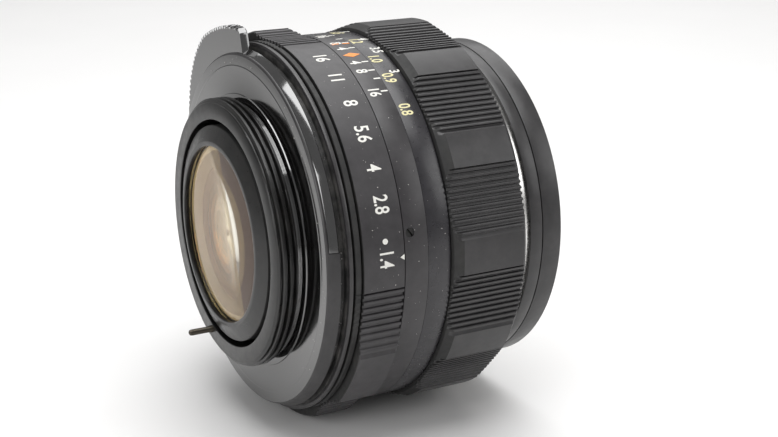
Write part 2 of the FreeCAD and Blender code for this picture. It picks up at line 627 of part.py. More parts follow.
def guide_key_screw_places():
    """Angle and place of each screw through the guide keys."""
    rows = (KEY_FRONT + KEY_SCREW_INSET, KEY_REAR - KEY_SCREW_INSET)
    return [(angle, y) for angle in KEY_ANGLES for y in rows]


def guide_key_holes():
    """Drillings through the keys and the tube."""
    return [radial_rod(KEY_SCREW_R, angle, y, TUBE_R_IN - CUT, TUBE_R_OUT + 2)
            for angle, y in guide_key_screw_places()]


def guide_key_screws():
    """Two screws through each guide key into the tube."""
    screws = []
    for angle, y in guide_key_screw_places():
        length = TUBE_R_OUT + KEY_HEIGHT - KEY_SCREW_SUNK - TUBE_R_IN
        body = slotted_screw(KEY_SCREW_R, length, KEY_SCREW_SLOT, KEY_SCREW_SLOT)
        body.translate(Vector(0, y, TUBE_R_IN))
        screws.append(spun(body, angle))
    return screws


def focus_stop_pin():
    """Pin in the web that stops the focus ring at both ends of its travel."""
    return axial_rod(STOP_PIN_R, FOCUS_STOP_R, STOP_PIN_ANGLE, FOCUS_LIP_FRONT, WEB_FRONT + STOP_PIN_SET)


def click_ball():
    """Detent ball that clicks into the notches of the aperture ring."""
    middle_r = SLEEVE_R_OUT - CLICK_DROP - CLICK_BALL_R
    return Part.makeSphere(CLICK_BALL_R, polar(middle_r, CLICK_ANGLE, CLICK_Y))


def click_spring_r():
    """Outer face of the leaf spring, which the detent ball rests on."""
    return SLEEVE_R_OUT - CLICK_DROP - 2 * CLICK_BALL_R


def click_spring():
    """Leaf spring under the detent ball."""
    r_top = click_spring_r()
    r_low = r_top - CLICK_LEAF_T
    front = CLICK_Y - CLICK_LEAF_W / 2
    rear = CLICK_Y + CLICK_LEAF_W / 2
    end = CLICK_SCREW_ANGLE + CLICK_FOOT_SWEEP / 2
    leaf = ring(r_low, r_top, front, rear, end - CLICK_LEAF_SWEEP, CLICK_LEAF_SWEEP)
    foot = ring(r_low, SLEEVE_R_IN, front, rear, end - CLICK_FOOT_SWEEP, CLICK_FOOT_SWEEP)
    return leaf.fuse(foot).removeSplitter().cut(click_spring_screw())


def click_spring_screw():
    """Screw that holds the leaf spring's foot to the sleeve."""
    inner = click_spring_r() - CLICK_SCREW_REACH
    return radial_rod(CLICK_SCREW_R, CLICK_SCREW_ANGLE, CLICK_Y, inner, SLEEVE_R_OUT - FREE)


# ---------------------------------------------------------------- switch
def am_switch_ring():
    """Sector plate of the automatic / manual switch, with its thumb lobe."""
    top = -SWITCH_DEPTH
    bottom = MOUNT_FRONT + GAP
    slope = (MOUNT_BAND_R - FLANGE_R) / (MOUNT_THICKNESS - FLANGE_BEVEL_DROP)
    top_r = FLANGE_R + slope * (SWITCH_DEPTH - FLANGE_BEVEL_DROP)
    bottom_r = top_r + slope * (top - bottom)
    sector = swept([(SWITCH_INNER_R, bottom), (bottom_r, bottom), (top_r, top), (SWITCH_INNER_R, top)],
                   SWITCH_START, SWITCH_END - SWITCH_START)
    root = (SWITCH_INNER_R + FLANGE_R) / 2
    heel = FLANGE_R + LOBE_HEEL
    foot = (heel - 0.6, LOBE_START - LOBE_NOSE)
    nose = (heel, LOBE_START - 0.3)
    shoulder = (heel + 0.2, LOBE_START + LOBE_NOSE)
    toe = (FLANGE_R + 0.5, LOBE_END)
    lobe = outline_solid([
        line((root, LOBE_START), foot),
        arc(foot, nose, shoulder),
        arc(shoulder, (FLANGE_R + LOBE_PEAK, LOBE_PEAK_ANGLE), toe),
        line(toe, (root, LOBE_END)),
        arc((root, LOBE_END), (root, LOBE_PEAK_ANGLE), (root, LOBE_START)),
    ], bottom, top)
    return sector.fuse(lobe).removeSplitter()


# ---------------------------------------------------------------- aperture ring
def aperture_outline():
    """Number band and the alternating valleys and hills of the grip."""
    edges = [arc((BAND_R, BAND_START), (BAND_R, (BAND_START + BAND_END) / 2), (BAND_R, BAND_END))]
    grip_sweep = 360 - (BAND_END - BAND_START)
    valley = (grip_sweep - APERTURE_HILLS * APERTURE_HILL_ANGLE) / (APERTURE_HILLS + 1)
    angle = BAND_END
    radius = BAND_R
    for hill in range(APERTURE_HILLS):
        bottom = (APERTURE_VALLEY_R, angle + valley / 2)
        edges.append(arc((radius, angle), bottom, (HILL_R, angle + valley)))
        angle += valley
        radius = HILL_R
        edges.append(arc((HILL_R, angle), (HILL_R, angle + APERTURE_HILL_ANGLE / 2),
                         (HILL_R, angle + APERTURE_HILL_ANGLE)))
        angle += APERTURE_HILL_ANGLE
    edges.append(arc((radius, angle), (APERTURE_VALLEY_R, angle + valley / 2), (BAND_R, BAND_START)))
    return edges


def aperture_ring():
    """Aperture ring, with detent notches in its bore and a flange behind the sleeve."""
    blank = outline_solid(aperture_outline(), APERTURE_FRONT, APERTURE_REAR)
    bore = SLEEVE_R_OUT + RUNNING
    flange_r = TUBE_R_OUT + APERTURE_FLANGE_CLEAR
    flange_front = APERTURE_REAR - APERTURE_FLANGE_T
    envelope = swept([
        (bore, APERTURE_FRONT), (HILL_R - 0.9, APERTURE_FRONT), (HILL_R, APERTURE_FRONT + 0.65),
        (HILL_R, APERTURE_REAR - HILL_CHAMFER), (BAND_R - 0.2, APERTURE_REAR),
        (flange_r, APERTURE_REAR), (flange_r, flange_front), (bore, flange_front),
    ])
    body = blank.common(envelope)
    groove_front = APERTURE_GROOVE_Y - APERTURE_GROOVE_W / 2
    groove_r = BAND_R - APERTURE_GROOVE_DEPTH
    body = body.cut(ring(groove_r, HILL_R + CUT, groove_front, groove_front + APERTURE_GROOVE_W))
    notch_r = bore + CLICK_NOTCH_DEPTH - CLICK_NOTCH_R
    for clicks in STOP_CLICKS:
        angle = CLICK_ANGLE - clicks * STOP_ANGLE
        body = body.cut(axial_rod(CLICK_NOTCH_R, notch_r, angle, APERTURE_FRONT - CUT, flange_front))
    return body.cut(preset_cam_screws())


def preset_cam_y():
    """Rear face of the preset cam."""
    return APERTURE_REAR - APERTURE_FLANGE_T


def preset_cam():
    """Plate on the aperture ring whose inner edge sets the chosen opening."""
    y = preset_cam_y()
    start = 190
    rise = 0.4
    blank = ring(SLEEVE_R_IN - 1.5, SLEEVE_R_IN - 0.1, y - 0.7, y, start, 80)
    inner_edge = rod(SLEEVE_R_IN - 1.4, polar(rise, start, y - 2), AXIS, 3)
    return blank.cut([inner_edge] + preset_cam_screws())


def preset_cam_screws():
    """Screws that hold the preset cam to the aperture ring's flange."""
    y = preset_cam_y()
    return [axial_rod(0.35, SLEEVE_R_IN - 0.55, angle, y - 0.6, y + 0.6) for angle in (245, 262)]


# ---------------------------------------------------------------- stop-down linkage
def push_pin():
    """Pin that a camera body pushes forward to close the diaphragm."""
    swing = math.radians(CRANK_SWING)
    arm_top = (PIN_ARM + PIN_R) * math.tan(swing) + CRANK_HALF_T / math.cos(swing)
    body = axial_rod(PIN_R, PIN_AXIS_R, PIN_ANGLE, CRANK_Y + arm_top + FREE, PIN_TIP)
    return body.makeFillet(PIN_R / 2, [e for e in body.Edges if e.isClosed()])


def push_pin_clip():
    """Clip that keeps the pin in the mount."""
    rear = MOUNT_FRONT - FREE
    disc = axial_rod(PIN_R + CLIP_RISE, PIN_AXIS_R, PIN_ANGLE, rear - CLIP_T, rear)
    return disc.cut(axial_rod(PIN_R, PIN_AXIS_R, PIN_ANGLE, rear - CUT, rear + CUT))


def crank_bar(length, direction, u_in, u_out):
    """Bar from the crank's pivot. Its direction is an angle in the plane across the pivot."""
    bar = Part.makeBox(length, 2 * CRANK_HALF_T, u_out - u_in, Vector(0, -CRANK_HALF_T, u_in))
    bar.rotate(ORIGIN, Vector(0, 0, 1), direction)
    return bar


def bell_crank():
    """Lever that turns the pin's push into a turn of the stop-down ring."""
    hub = Part.makeCylinder(CRANK_HUB_R, CRANK_HUB_OUT - CRANK_HUB_IN, Vector(0, 0, CRANK_HUB_IN))
    pin_arm = crank_bar(PIN_ARM + PIN_ARM_REACH, CRANK_SWING, CRANK_HUB_IN, CRANK_HUB_IN + CRANK_PLATE_T)
    ring_arm = crank_bar(CRANK_ARM + CRANK_ARM_REACH, CRANK_SWING - 90, CRANK_HUB_OUT - CRANK_PLATE_T,
                         CRANK_HUB_OUT)
    bore = Part.makeCylinder(CRANK_PIVOT_R + RUNNING, CRANK_HUB_OUT, Vector(0, 0, CRANK_HUB_IN - CUT))
    body = hub.fuse([pin_arm, ring_arm]).removeSplitter().cut(bore)
    body.translate(Vector(0, CRANK_Y, 0))
    return spun(body, CRANK_ANGLE)


def bell_crank_pivot():
    """Radial pivot of the bell crank, fixed in the guide tube, with a head and a collar."""
    head_top = CRANK_HUB_IN - GAP
    pivot = radial_rod(CRANK_PIVOT_R, CRANK_ANGLE, CRANK_Y, head_top - CRANK_HEAD_T / 2, TUBE_R_OUT)
    head_r = CRANK_PIVOT_R + CRANK_HEAD_RISE
    head = radial_rod(head_r, CRANK_ANGLE, CRANK_Y, head_top - CRANK_HEAD_T, head_top)
    collar = radial_rod(head_r, CRANK_ANGLE, CRANK_Y, CRANK_HUB_OUT + GAP, TUBE_R_IN - FREE)
    return pivot.fuse([head, collar]).removeSplitter()


def return_spring():
    """Coils of the torsion spring round the crank's hub."""
    middle = (CRANK_HUB_IN + CRANK_HUB_OUT) / 2
    coil_r = CRANK_HUB_R + FREE + SPRING_WIRE_R
    coils = []
    for turn in range(SPRING_TURNS):
        height = middle + (turn - (SPRING_TURNS - 1) / 2) * SPRING_PITCH
        coil = Part.makeTorus(coil_r, SPRING_WIRE_R, Vector(0, CRANK_Y, height))
        coils.append(spun(coil, CRANK_ANGLE))
    return coils


def stop_down_ring():
    """Ring turned by the bell crank. Its long prong drives the diaphragm at any focus."""
    front = STOP_DOWN_MID - STOP_DOWN_T / 2
    rear = STOP_DOWN_MID + STOP_DOWN_T / 2
    body = ring(STOP_DOWN_R_IN, STOP_DOWN_R_OUT, front, rear)
    prong = radial_block(PRONG_WIDTH, PRONG_FRONT, front + FREE, PRONG_R_IN, PRONG_R_OUT, PRONG_ANGLE)
    body = body.fuse(prong).removeSplitter()
    slot_r_in = CRANK_HUB_OUT - CRANK_PLATE_T - SLOT_END_CLEAR
    slot = radial_block(STOP_DOWN_SLOT, front - CUT, rear + CUT, slot_r_in, CRANK_HUB_OUT + SLOT_END_CLEAR,
                        CRANK_ANGLE + RING_SWING)
    return body.cut(slot)


def stop_down_circlips():
    """Open rings in the guide tube, one each side of the stop-down ring."""
    gap_angle = 40.0
    start = PRONG_ANGLE - STOP_DOWN_TURN / 2 + gap_angle / 2
    front = STOP_DOWN_MID - STOP_DOWN_T / 2 - GAP - CIRCLIP_T
    rear = STOP_DOWN_MID + STOP_DOWN_T / 2 + GAP
    return [ring(CIRCLIP_R_IN, TUBE_R_IN, y, y + CIRCLIP_T, start, 360 - gap_angle)
            for y in (front, rear)]


# ---------------------------------------------------------------- diaphragm
def blade_angle(index):
    """Angle of a blade's pivot about the axis."""
    return index * 360.0 / BLADES


def diaphragm_housing():
    """Cup round the blades, with their pivot holes and a window for the cam ring's fork."""
    plate_front = HOUSING_REAR - HOUSING_T
    body = swept([
        (STOP_OPENING_R, HOUSING_REAR), (LENS_BARREL_R, HOUSING_REAR), (LENS_BARREL_R, COVER_REAR),
        (HOUSING_BORE_R, COVER_REAR), (HOUSING_BORE_R, plate_front), (STOP_OPENING_R, plate_front),
    ])
    hole_r = BLADE_PIN_R + PIVOT_CLEAR
    holes = [axial_rod(hole_r, BLADE_PIVOT_R, blade_angle(i), plate_front - CUT, HOUSING_REAR + CUT)
             for i in range(BLADES)]
    margin = math.degrees((fork_width() / 2 + WINDOW_CLEAR) / HOUSING_BORE_R)
    window = ring(HOUSING_BORE_R - CUT, LENS_BARREL_R + CUT, COVER_REAR - CUT, CAM_REAR + GAP,
                  PRONG_ANGLE - STOP_DOWN_TURN - margin, STOP_DOWN_TURN + 2 * margin)
    body = body.cut(Part.makeCompound(holes)).cut(window)
    for screw in diaphragm_screws():
        body = body.cut(screw)
    return body


def diaphragm_cover():
    """Front cover of the diaphragm."""
    body = ring(STOP_OPENING_R, LENS_BARREL_R, COVER_FRONT, COVER_REAR)
    for screw in diaphragm_screws():
        body = body.cut(screw)
    return body


def diaphragm_screws():
    """Flush screws through the cover into the housing wall."""
    middle = (HOUSING_BORE_R + LENS_BARREL_R) / 2
    return [axial_rod(COVER_SCREW_R, middle, angle, COVER_FRONT + FREE, COVER_REAR + COVER_SCREW_GRIP)
            for angle in COVER_SCREW_ANGLES]


def fork_width():
    """Width of the cam ring's fork over both of its fingers."""
    return PRONG_WIDTH + 2 * (FORK_CLEAR + FORK_WALL)


def drive_pin_path(fraction):
    """Place of blade 0's drive pin, seen from the cam ring, at a fraction of its travel."""
    pivot = polar(BLADE_PIVOT_R, 0)
    open_place = polar(DRIVE_PIN_RADIUS, DRIVE_PIN_OFFSET)
    turned = Part.Vertex(open_place)
    turned.rotate(pivot, AXIS, BLADE_CLOSE * fraction)
    turned.rotate(ORIGIN, AXIS, STOP_DOWN_TURN * fraction)
    return turned.Point


def cam_slot():
    """Slot in the cam ring that guides the drive pin of blade 0."""
    steps = 5
    radius = BLADE_PIN_R + CAM_SLOT_CLEAR
    points = [drive_pin_path(i / steps) for i in range(steps + 1)]
    pieces = []
    for point in points:
        pieces.append(rod(radius, point + Vector(0, CAM_FRONT - CUT, 0), AXIS, CAM_T + 2))
    for a, b in zip(points, points[1:]):
        run = b - a
        block = Part.makeBox(2 * radius, CAM_T + 2, run.Length, Vector(-radius, 0, 0))
        block.rotate(ORIGIN, AXIS, math.degrees(math.atan2(run.x, run.z)))
        block.translate(a + Vector(0, CAM_FRONT - CUT, 0))
        pieces.append(block)
    return pieces[0].fuse(pieces[1:]).removeSplitter()


def cam_ring():
    """Ring whose slots swing all the blades at once."""
    body = ring(CAM_R_IN, CAM_R_OUT, CAM_FRONT, CAM_REAR)
    tab = radial_block(fork_width(), CAM_FRONT, CAM_REAR, CAM_R_OUT - CUT, PRONG_R_OUT, PRONG_ANGLE)
    body = body.fuse(tab).removeSplitter()
    fork = radial_block(PRONG_WIDTH + 2 * FORK_CLEAR, CAM_FRONT - CUT, CAM_REAR + CUT,
                        PRONG_R_IN - FORK_CLEAR, PRONG_R_OUT + CUT, PRONG_ANGLE)
    slot = cam_slot()
    return body.cut([fork] + [spun(slot, blade_angle(i)) for i in range(BLADES)])


def blade(index):
    """Thin curved blade with a pivot pin to the rear and a drive pin to the front."""
    rear = BLADE_FIRST - index * BLADE_STEP
    front = rear - BLADE_T
    leaf = ring(BLADE_R_IN, BLADE_R_OUT, front, rear, -BLADE_HEEL, BLADE_SPAN + BLADE_HEEL)
    pivot = polar(BLADE_PIVOT_R, 0)
    drive = polar(DRIVE_PIN_RADIUS, DRIVE_PIN_OFFSET)
    ears = [rod(BLADE_EAR_R, place + Vector(0, front, 0), AXIS, BLADE_T) for place in (pivot, drive)]
    bridge = ring(BLADE_R_OUT - 0.5, DRIVE_PIN_RADIUS + 0.2, front, rear, 0, DRIVE_PIN_OFFSET)
    pivot_pin = rod(BLADE_PIN_R, pivot + Vector(0, rear, 0), AXIS, HOUSING_REAR - FREE - rear)
    drive_pin = rod(BLADE_PIN_R, drive + Vector(0, CAM_FRONT + GAP, 0), AXIS, front - CAM_FRONT - GAP)
    body = leaf.fuse(ears + [bridge, pivot_pin, drive_pin]).removeSplitter()
    return spun(body, blade_angle(index))


# ---------------------------------------------------------------- focus ring group
def grip_ring():
    """Focus grip with smooth hills between hollow valleys, and a bore stepped for the lock ring."""
    period = 360.0 / GRIP_PERIODS
    half_hill = GRIP_HILL_ANGLE / 2
    edges = []
    for i in range(GRIP_PERIODS):
        centre = GRIP_HILL_CENTRE + i * period
        edges.append(arc((GRIP_R, centre - half_hill), (GRIP_R, centre), (GRIP_R, centre + half_hill)))
        edges.append(arc((GRIP_R, centre + half_hill), (GRIP_VALLEY_R, centre + period / 2),
                         (GRIP_R, centre + period - half_hill)))
    blank = outline_solid(edges, GRIP_FRONT, GRIP_REAR)
    step = GRIP_FRONT + LOCK_RING_T
    envelope = swept([
        (FOCUS_SLEEVE_R, GRIP_REAR), (GRIP_R - GRIP_REAR_CHAMFER_DROP, GRIP_REAR),
        (GRIP_R, GRIP_REAR - GRIP_REAR_CHAMFER), (GRIP_R, GRIP_FRONT + GRIP_FRONT_CHAMFER),
        (GRIP_R - GRIP_FRONT_CHAMFER, GRIP_FRONT), (LOCK_RING_R, GRIP_FRONT), (LOCK_RING_R, step),
        (FOCUS_SLEEVE_R, step),
    ])
    return blank.common(envelope)


def distance_scale_ring():
    """Plain ring that carries the distance scale."""
    return ring(FOCUS_SLEEVE_R, BAND_R, SCALE_FRONT, SCALE_REAR)


def focus_helicoid():
    """Turning helicoid, with a rear lip that runs between the web and the retainer."""
    bore = HELICOID_R + RUNNING
    body = swept([
        (FOCUS_LIP_R, SCALE_REAR), (FOCUS_SLEEVE_R, SCALE_REAR), (FOCUS_SLEEVE_R, LOCK_RING_FRONT),
        (bore, LOCK_RING_FRONT), (bore, FOCUS_LIP_FRONT), (FOCUS_LIP_R, FOCUS_LIP_FRONT),
    ])
    side = math.degrees((STOP_PIN_R + STOP_PIN_PLAY) / FOCUS_STOP_R)
    track_r = FOCUS_STOP_R + STOP_PIN_R + FREE
    track = ring(FOCUS_LIP_R - CUT, track_r, FOCUS_LIP_FRONT - FREE, SCALE_REAR + CUT,
                 STOP_PIN_ANGLE - FOCUS_NEAR - side, FOCUS_NEAR + FOCUS_BACK + 2 * side)
    return body.cut(track)


def focus_lock_ring():
    """Threaded ring that locks the grip on the helicoid, with two spanner notches."""
    front = LOCK_RING_FRONT
    body = ring(FOCUS_SLEEVE_R, LOCK_RING_R, front, GRIP_FRONT + LOCK_RING_T)
    for angle in (0, 180):
        notch = radial_block(LOCK_NOTCH_W, front - CUT, front + LOCK_NOTCH_DEPTH, FOCUS_SLEEVE_R - CUT,
                             LOCK_RING_R + CUT, angle)
        body = body.cut(notch)
    return body


# ---------------------------------------------------------------- sliding optics
def helicoid_barrel():
    """Bright inner barrel that carries the optics and slides on the guide keys."""
    bore = TUBE_R_OUT + RUNNING
    wall_rear = BARREL_FRONT + BARREL_WALL_T
    body = swept([
        (bore, BARREL_REAR), (HELICOID_R, BARREL_REAR), (HELICOID_R, BARREL_FRONT),
        (LENS_BARREL_R, BARREL_FRONT), (LENS_BARREL_R, wall_rear), (bore, wall_rear),
    ])
    for angle in KEY_ANGLES:
        slot = radial_block(KEY_WIDTH + 2 * RUNNING, wall_rear + KEY_SLOT_LAND, BARREL_REAR + CUT,
                            TUBE_R_OUT - CUT, TUBE_R_OUT + KEY_HEIGHT + FREE, angle)
        body = body.cut(slot)
    return body


def lens_barrel():
    """Thin tube round the front cell and the diaphragm's cover."""
    return ring(LENS_BARREL_BORE, LENS_BARREL_R, FILTER_FLOOR, COVER_FRONT)


def front_collar():
    """Black collar in front of the bright barrel."""
    return ring(LENS_BARREL_R, FRONT_R, COLLAR_FRONT, BARREL_FRONT)


def filter_ring():
    """Front ring with the filter thread."""
    groove_r = FILTER_THREAD_R + FILTER_THREAD_DEPTH
    half_pitch = FILTER_THREAD_PITCH / 2
    outline = [(FRONT_R, FILTER_REAR), (LENS_BARREL_R, FILTER_REAR), (LENS_BARREL_R, FILTER_FLOOR),
               (FILTER_RELIEF_R, FILTER_FLOOR), (FILTER_RELIEF_R, FILTER_THREAD_REAR),
               (FILTER_THREAD_R, FILTER_THREAD_REAR)]
    y = FILTER_THREAD_REAR - 0.3
    for groove in range(FILTER_GROOVES):
        outline.append((FILTER_THREAD_R, y))
        outline.append((groove_r, y - half_pitch / 2))
        outline.append((FILTER_THREAD_R, y - half_pitch))
        y -= FILTER_THREAD_PITCH
    outline += [(FILTER_THREAD_R, FRONT_END + 0.35), (FILTER_THREAD_R + 0.35, FRONT_END)]
    outline += [(FRONT_R - 0.3, FRONT_END), (FRONT_R, FRONT_END + 0.3)]
    return swept(outline)


def front_ring_bore():
    """Bore of the first element's retaining ring."""
    return LENS_1_RIM - RING_WALL


def name_ring_seat():
    """Front of the first element's retaining ring, which the bezel sits on."""
    return surface_y(LENS_1_FRONT, front_ring_bore()) - FRONT_RING_T


def name_ring():
    """Blank bezel round the front glass."""
    outer = FILTER_THREAD_R - FREE
    seat = name_ring_seat()
    return swept([
        (outer, FILTER_FLOOR), (outer, FILTER_FLOOR - NAME_RING_EDGE),
        (outer - NAME_RING_EDGE, FILTER_THREAD_REAR),
        (NAME_RING_BORE_R, seat - NAME_RING_LIP), (NAME_RING_BORE_R, seat),
        (NAME_RING_SEAT_R, seat), (NAME_RING_SEAT_R, FRONT_CELL_END),
        (LENS_BARREL_BORE, FRONT_CELL_END), (LENS_BARREL_BORE, FILTER_FLOOR),
    ])


def front_cell():
    """Stepped cell that seats the three front elements."""
    seat = name_ring_seat()
    seat_1 = surface_y(LENS_1_REAR, LENS_1_RIM)
    seat_2 = surface_y(LENS_2_REAR, LENS_2_RIM)
    seat_3 = surface_y(LENS_3_REAR, LENS_3_REAR[2])
    step_2 = surface_y(LENS_2_FRONT, LENS_2_RIM)
    ring_2_r = LENS_2_RIM + SECOND_RING_STEP
    return swept([
        (LENS_BARREL_BORE, FRONT_CELL_END), (NAME_RING_SEAT_R, FRONT_CELL_END),
        (NAME_RING_SEAT_R, seat), (LENS_1_RIM, seat), (LENS_1_RIM, seat_1),
        (ring_2_r, seat_1), (ring_2_r, step_2), (LENS_2_RIM, step_2),
        (LENS_2_RIM, seat_2), (LENS_3_RIM, seat_2), (LENS_3_RIM, seat_3), (CELL_STOP_R, seat_3),
        (CELL_STOP_R, COVER_FRONT), (LENS_BARREL_BORE, COVER_FRONT),
    ])


def front_lens_ring():
    """Retaining ring of the first element."""
    bore = front_ring_bore()
    return ring(bore, LENS_1_RIM, name_ring_seat(), surface_y(LENS_1_FRONT, bore))


def second_lens_ring():
    """Retaining ring of the second element."""
    bore = LENS_2_RIM - RING_WALL
    rear = surface_y(LENS_2_FRONT, bore)
    return ring(bore, LENS_2_RIM + SECOND_RING_STEP, rear - SECOND_RING_T, rear)


def third_lens_spacer():
    """Spacer between the second and third elements."""
    bore = LENS_3_RIM - RING_WALL
    return ring(bore, LENS_3_RIM, surface_y(LENS_2_REAR, LENS_3_RIM), surface_y(LENS_3_FRONT, bore))


def rear_cell_end():
    """Rear end of the rear cell, just short of the last element's edge."""
    return surface_y(LENS_7_REAR, LENS_7_RIM) - REAR_CELL_SEAT


def rear_cell():
    """Cell behind the diaphragm that seats the four rear elements."""
    seat_pair = surface_y(PAIR_FRONT, PAIR_FRONT[2])
    step_6 = surface_y(PAIR_REAR, PAIR_RIM)
    step_7 = surface_y(LENS_7_FRONT, LENS_6_RIM)
    flange_rear = HOUSING_REAR + REAR_CELL_FLANGE_T
    return swept([
        (PAIR_RIM - PAIR_SEAT, HOUSING_REAR), (PAIR_RIM - PAIR_SEAT, seat_pair), (PAIR_RIM, seat_pair),
        (PAIR_RIM, step_6), (LENS_6_RIM, step_6), (LENS_6_RIM, step_7), (LENS_7_RIM, step_7),
        (LENS_7_RIM, rear_cell_end()), (REAR_CELL_R, rear_cell_end()), (REAR_CELL_R, flange_rear),
        (REAR_CELL_FLANGE_R, flange_rear), (REAR_CELL_FLANGE_R, HOUSING_REAR),
    ])


def sixth_lens_spacer():
    """Spacer between the cemented pair and the sixth element."""
    return ring(PAIR_RIM, LENS_6_RIM, surface_y(PAIR_REAR, PAIR_RIM), surface_y(LENS_6_FRONT, LENS_6_RIM))


def rear_lens_spacer():
    """Spacer between the sixth element and the rear element."""
    bore = LENS_6_RIM - PAIR_STEP
    return ring(bore, LENS_6_RIM, surface_y(LENS_6_REAR, bore), surface_y(LENS_7_FRONT, bore))


def rear_retaining_ring():
    """Conical ring that holds the rear element."""
    lip = LENS_7_RIM - REAR_LIP_OVERLAP
    seat = surface_y(LENS_7_REAR, lip)
    front = rear_cell_end()
    rear = front + REAR_LIP_LENGTH
    return swept([
        (lip, seat), (lip, rear), (LENS_7_RIM + REAR_LIP_OUT, rear), (REAR_CELL_R, front),
        (LENS_7_RIM, front), (LENS_7_RIM, seat),
    ])


# ---------------------------------------------------------------- export
export("mount_plate", mount_plate())
export("mount_screws", *mount_screws())
export("main_barrel", main_barrel())
export("dof_ring", dof_ring())
export("dof_set_screws", *dof_set_screws())
export("helicoid_retainer", helicoid_retainer())
export("guide_keys", *guide_keys())
export("guide_key_screws", *guide_key_screws())
export("focus_stop_pin", focus_stop_pin())
export("click_ball", click_ball())
export("click_spring", click_spring())
export("click_spring_screw", click_spring_screw())
export("bell_crank_pivot", bell_crank_pivot())
export("return_spring", *return_spring())
export("stop_down_circlips", *stop_down_circlips())
export("am_switch", am_switch_ring())
export("aperture_ring", aperture_ring())
export("preset_cam", preset_cam())
export("preset_cam_screws", *preset_cam_screws())
export("push_pin", push_pin())
export("push_pin_clip", push_pin_clip())
export("bell_crank", bell_crank())
export("stop_down_ring", stop_down_ring())
export("focus_helicoid", focus_helicoid())
export("distance_scale_ring", distance_scale_ring())
export("focus_grip", grip_ring())
export("focus_lock_ring", focus_lock_ring())
export("helicoid_barrel", helicoid_barrel())
export("lens_barrel", lens_barrel())
export("front_collar", front_collar())
export("filter_ring", filter_ring())
export("name_ring", name_ring())
export("front_cell", front_cell())
export("front_lens_ring", front_lens_ring())
export("second_lens_ring", second_lens_ring())
export("third_lens_spacer", third_lens_spacer())
export("lens_1", lens(LENS_1_RIM, LENS_1_FRONT, LENS_1_REAR))
export("lens_2", lens(LENS_2_RIM, LENS_2_FRONT, LENS_2_REAR))
export("lens_3", lens(LENS_3_RIM, LENS_3_FRONT, LENS_3_REAR))
export("lens_4", lens(PAIR_RIM, PAIR_FRONT, PAIR_JOINT))
export("lens_5", lens(PAIR_RIM, PAIR_JOINT, PAIR_REAR))
export("lens_6", lens(LENS_6_RIM, LENS_6_FRONT, LENS_6_REAR))
export("lens_7", lens(LENS_7_RIM, LENS_7_FRONT, LENS_7_REAR))
export("rear_cell", rear_cell())
export("sixth_lens_spacer", sixth_lens_spacer())
export("rear_lens_spacer", rear_lens_spacer())
export("rear_retaining_ring", rear_retaining_ring())
export("diaphragm_housing", diaphragm_housing())
export("diaphragm_cover", diaphragm_cover())
export("diaphragm_screws", *diaphragm_screws())
export("cam_ring", cam_ring())
for number in range(BLADES):
    export("blade_" + str(number + 1), blade(number))
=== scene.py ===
"""Looks of the screw-mount prime lens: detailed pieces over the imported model, materials, light and camera.

Pieces are given in millimetres and degrees. The lens axis is Y, with the mount's face at 0 and the front
of the lens at the negative end. Angles about the axis start at the top. Lights and camera are in metres.
"""
import bpy
import math
import random
from mathutils import Matrix, Vector


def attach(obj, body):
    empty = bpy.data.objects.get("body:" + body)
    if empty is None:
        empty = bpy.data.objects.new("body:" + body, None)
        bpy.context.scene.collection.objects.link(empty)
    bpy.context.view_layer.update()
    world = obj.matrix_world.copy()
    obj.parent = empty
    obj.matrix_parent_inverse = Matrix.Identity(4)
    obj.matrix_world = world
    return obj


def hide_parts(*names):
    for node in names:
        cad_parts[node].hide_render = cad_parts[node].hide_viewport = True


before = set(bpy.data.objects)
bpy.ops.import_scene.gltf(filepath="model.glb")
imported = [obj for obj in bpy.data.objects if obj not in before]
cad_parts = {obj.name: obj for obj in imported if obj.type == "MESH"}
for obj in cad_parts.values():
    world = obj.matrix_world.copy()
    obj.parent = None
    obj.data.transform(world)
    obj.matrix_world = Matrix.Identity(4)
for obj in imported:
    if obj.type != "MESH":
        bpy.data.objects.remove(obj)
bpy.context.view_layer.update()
MM = 0.001

INDEX = -18.0           # angle of the index line
RING_R = 29.28          # outside of the plain rings that carry the scales
MARK_R = RING_R + 0.01  # middle of the filled markings
MARK_HALF = 0.02        # half the thickness of a marking
HILL_R = 30.58          # outside of the aperture ring's hills, on which the lens lies
FRONT_R = 26.38         # outside of the front collar and the filter ring
STOP_STEP = 10.4        # angle from one stop to the next
STOP_Y = -8.65          # line of the stop numbers
REST_TRAVEL = 2.7       # how far the optics stand forward of their infinity place at rest
REST_DISTANCE = 1.03    # distance in metres that the lens is focused on at rest
TURN_PER_MM = 27.07     # angle of the focus ring for each millimetre of travel


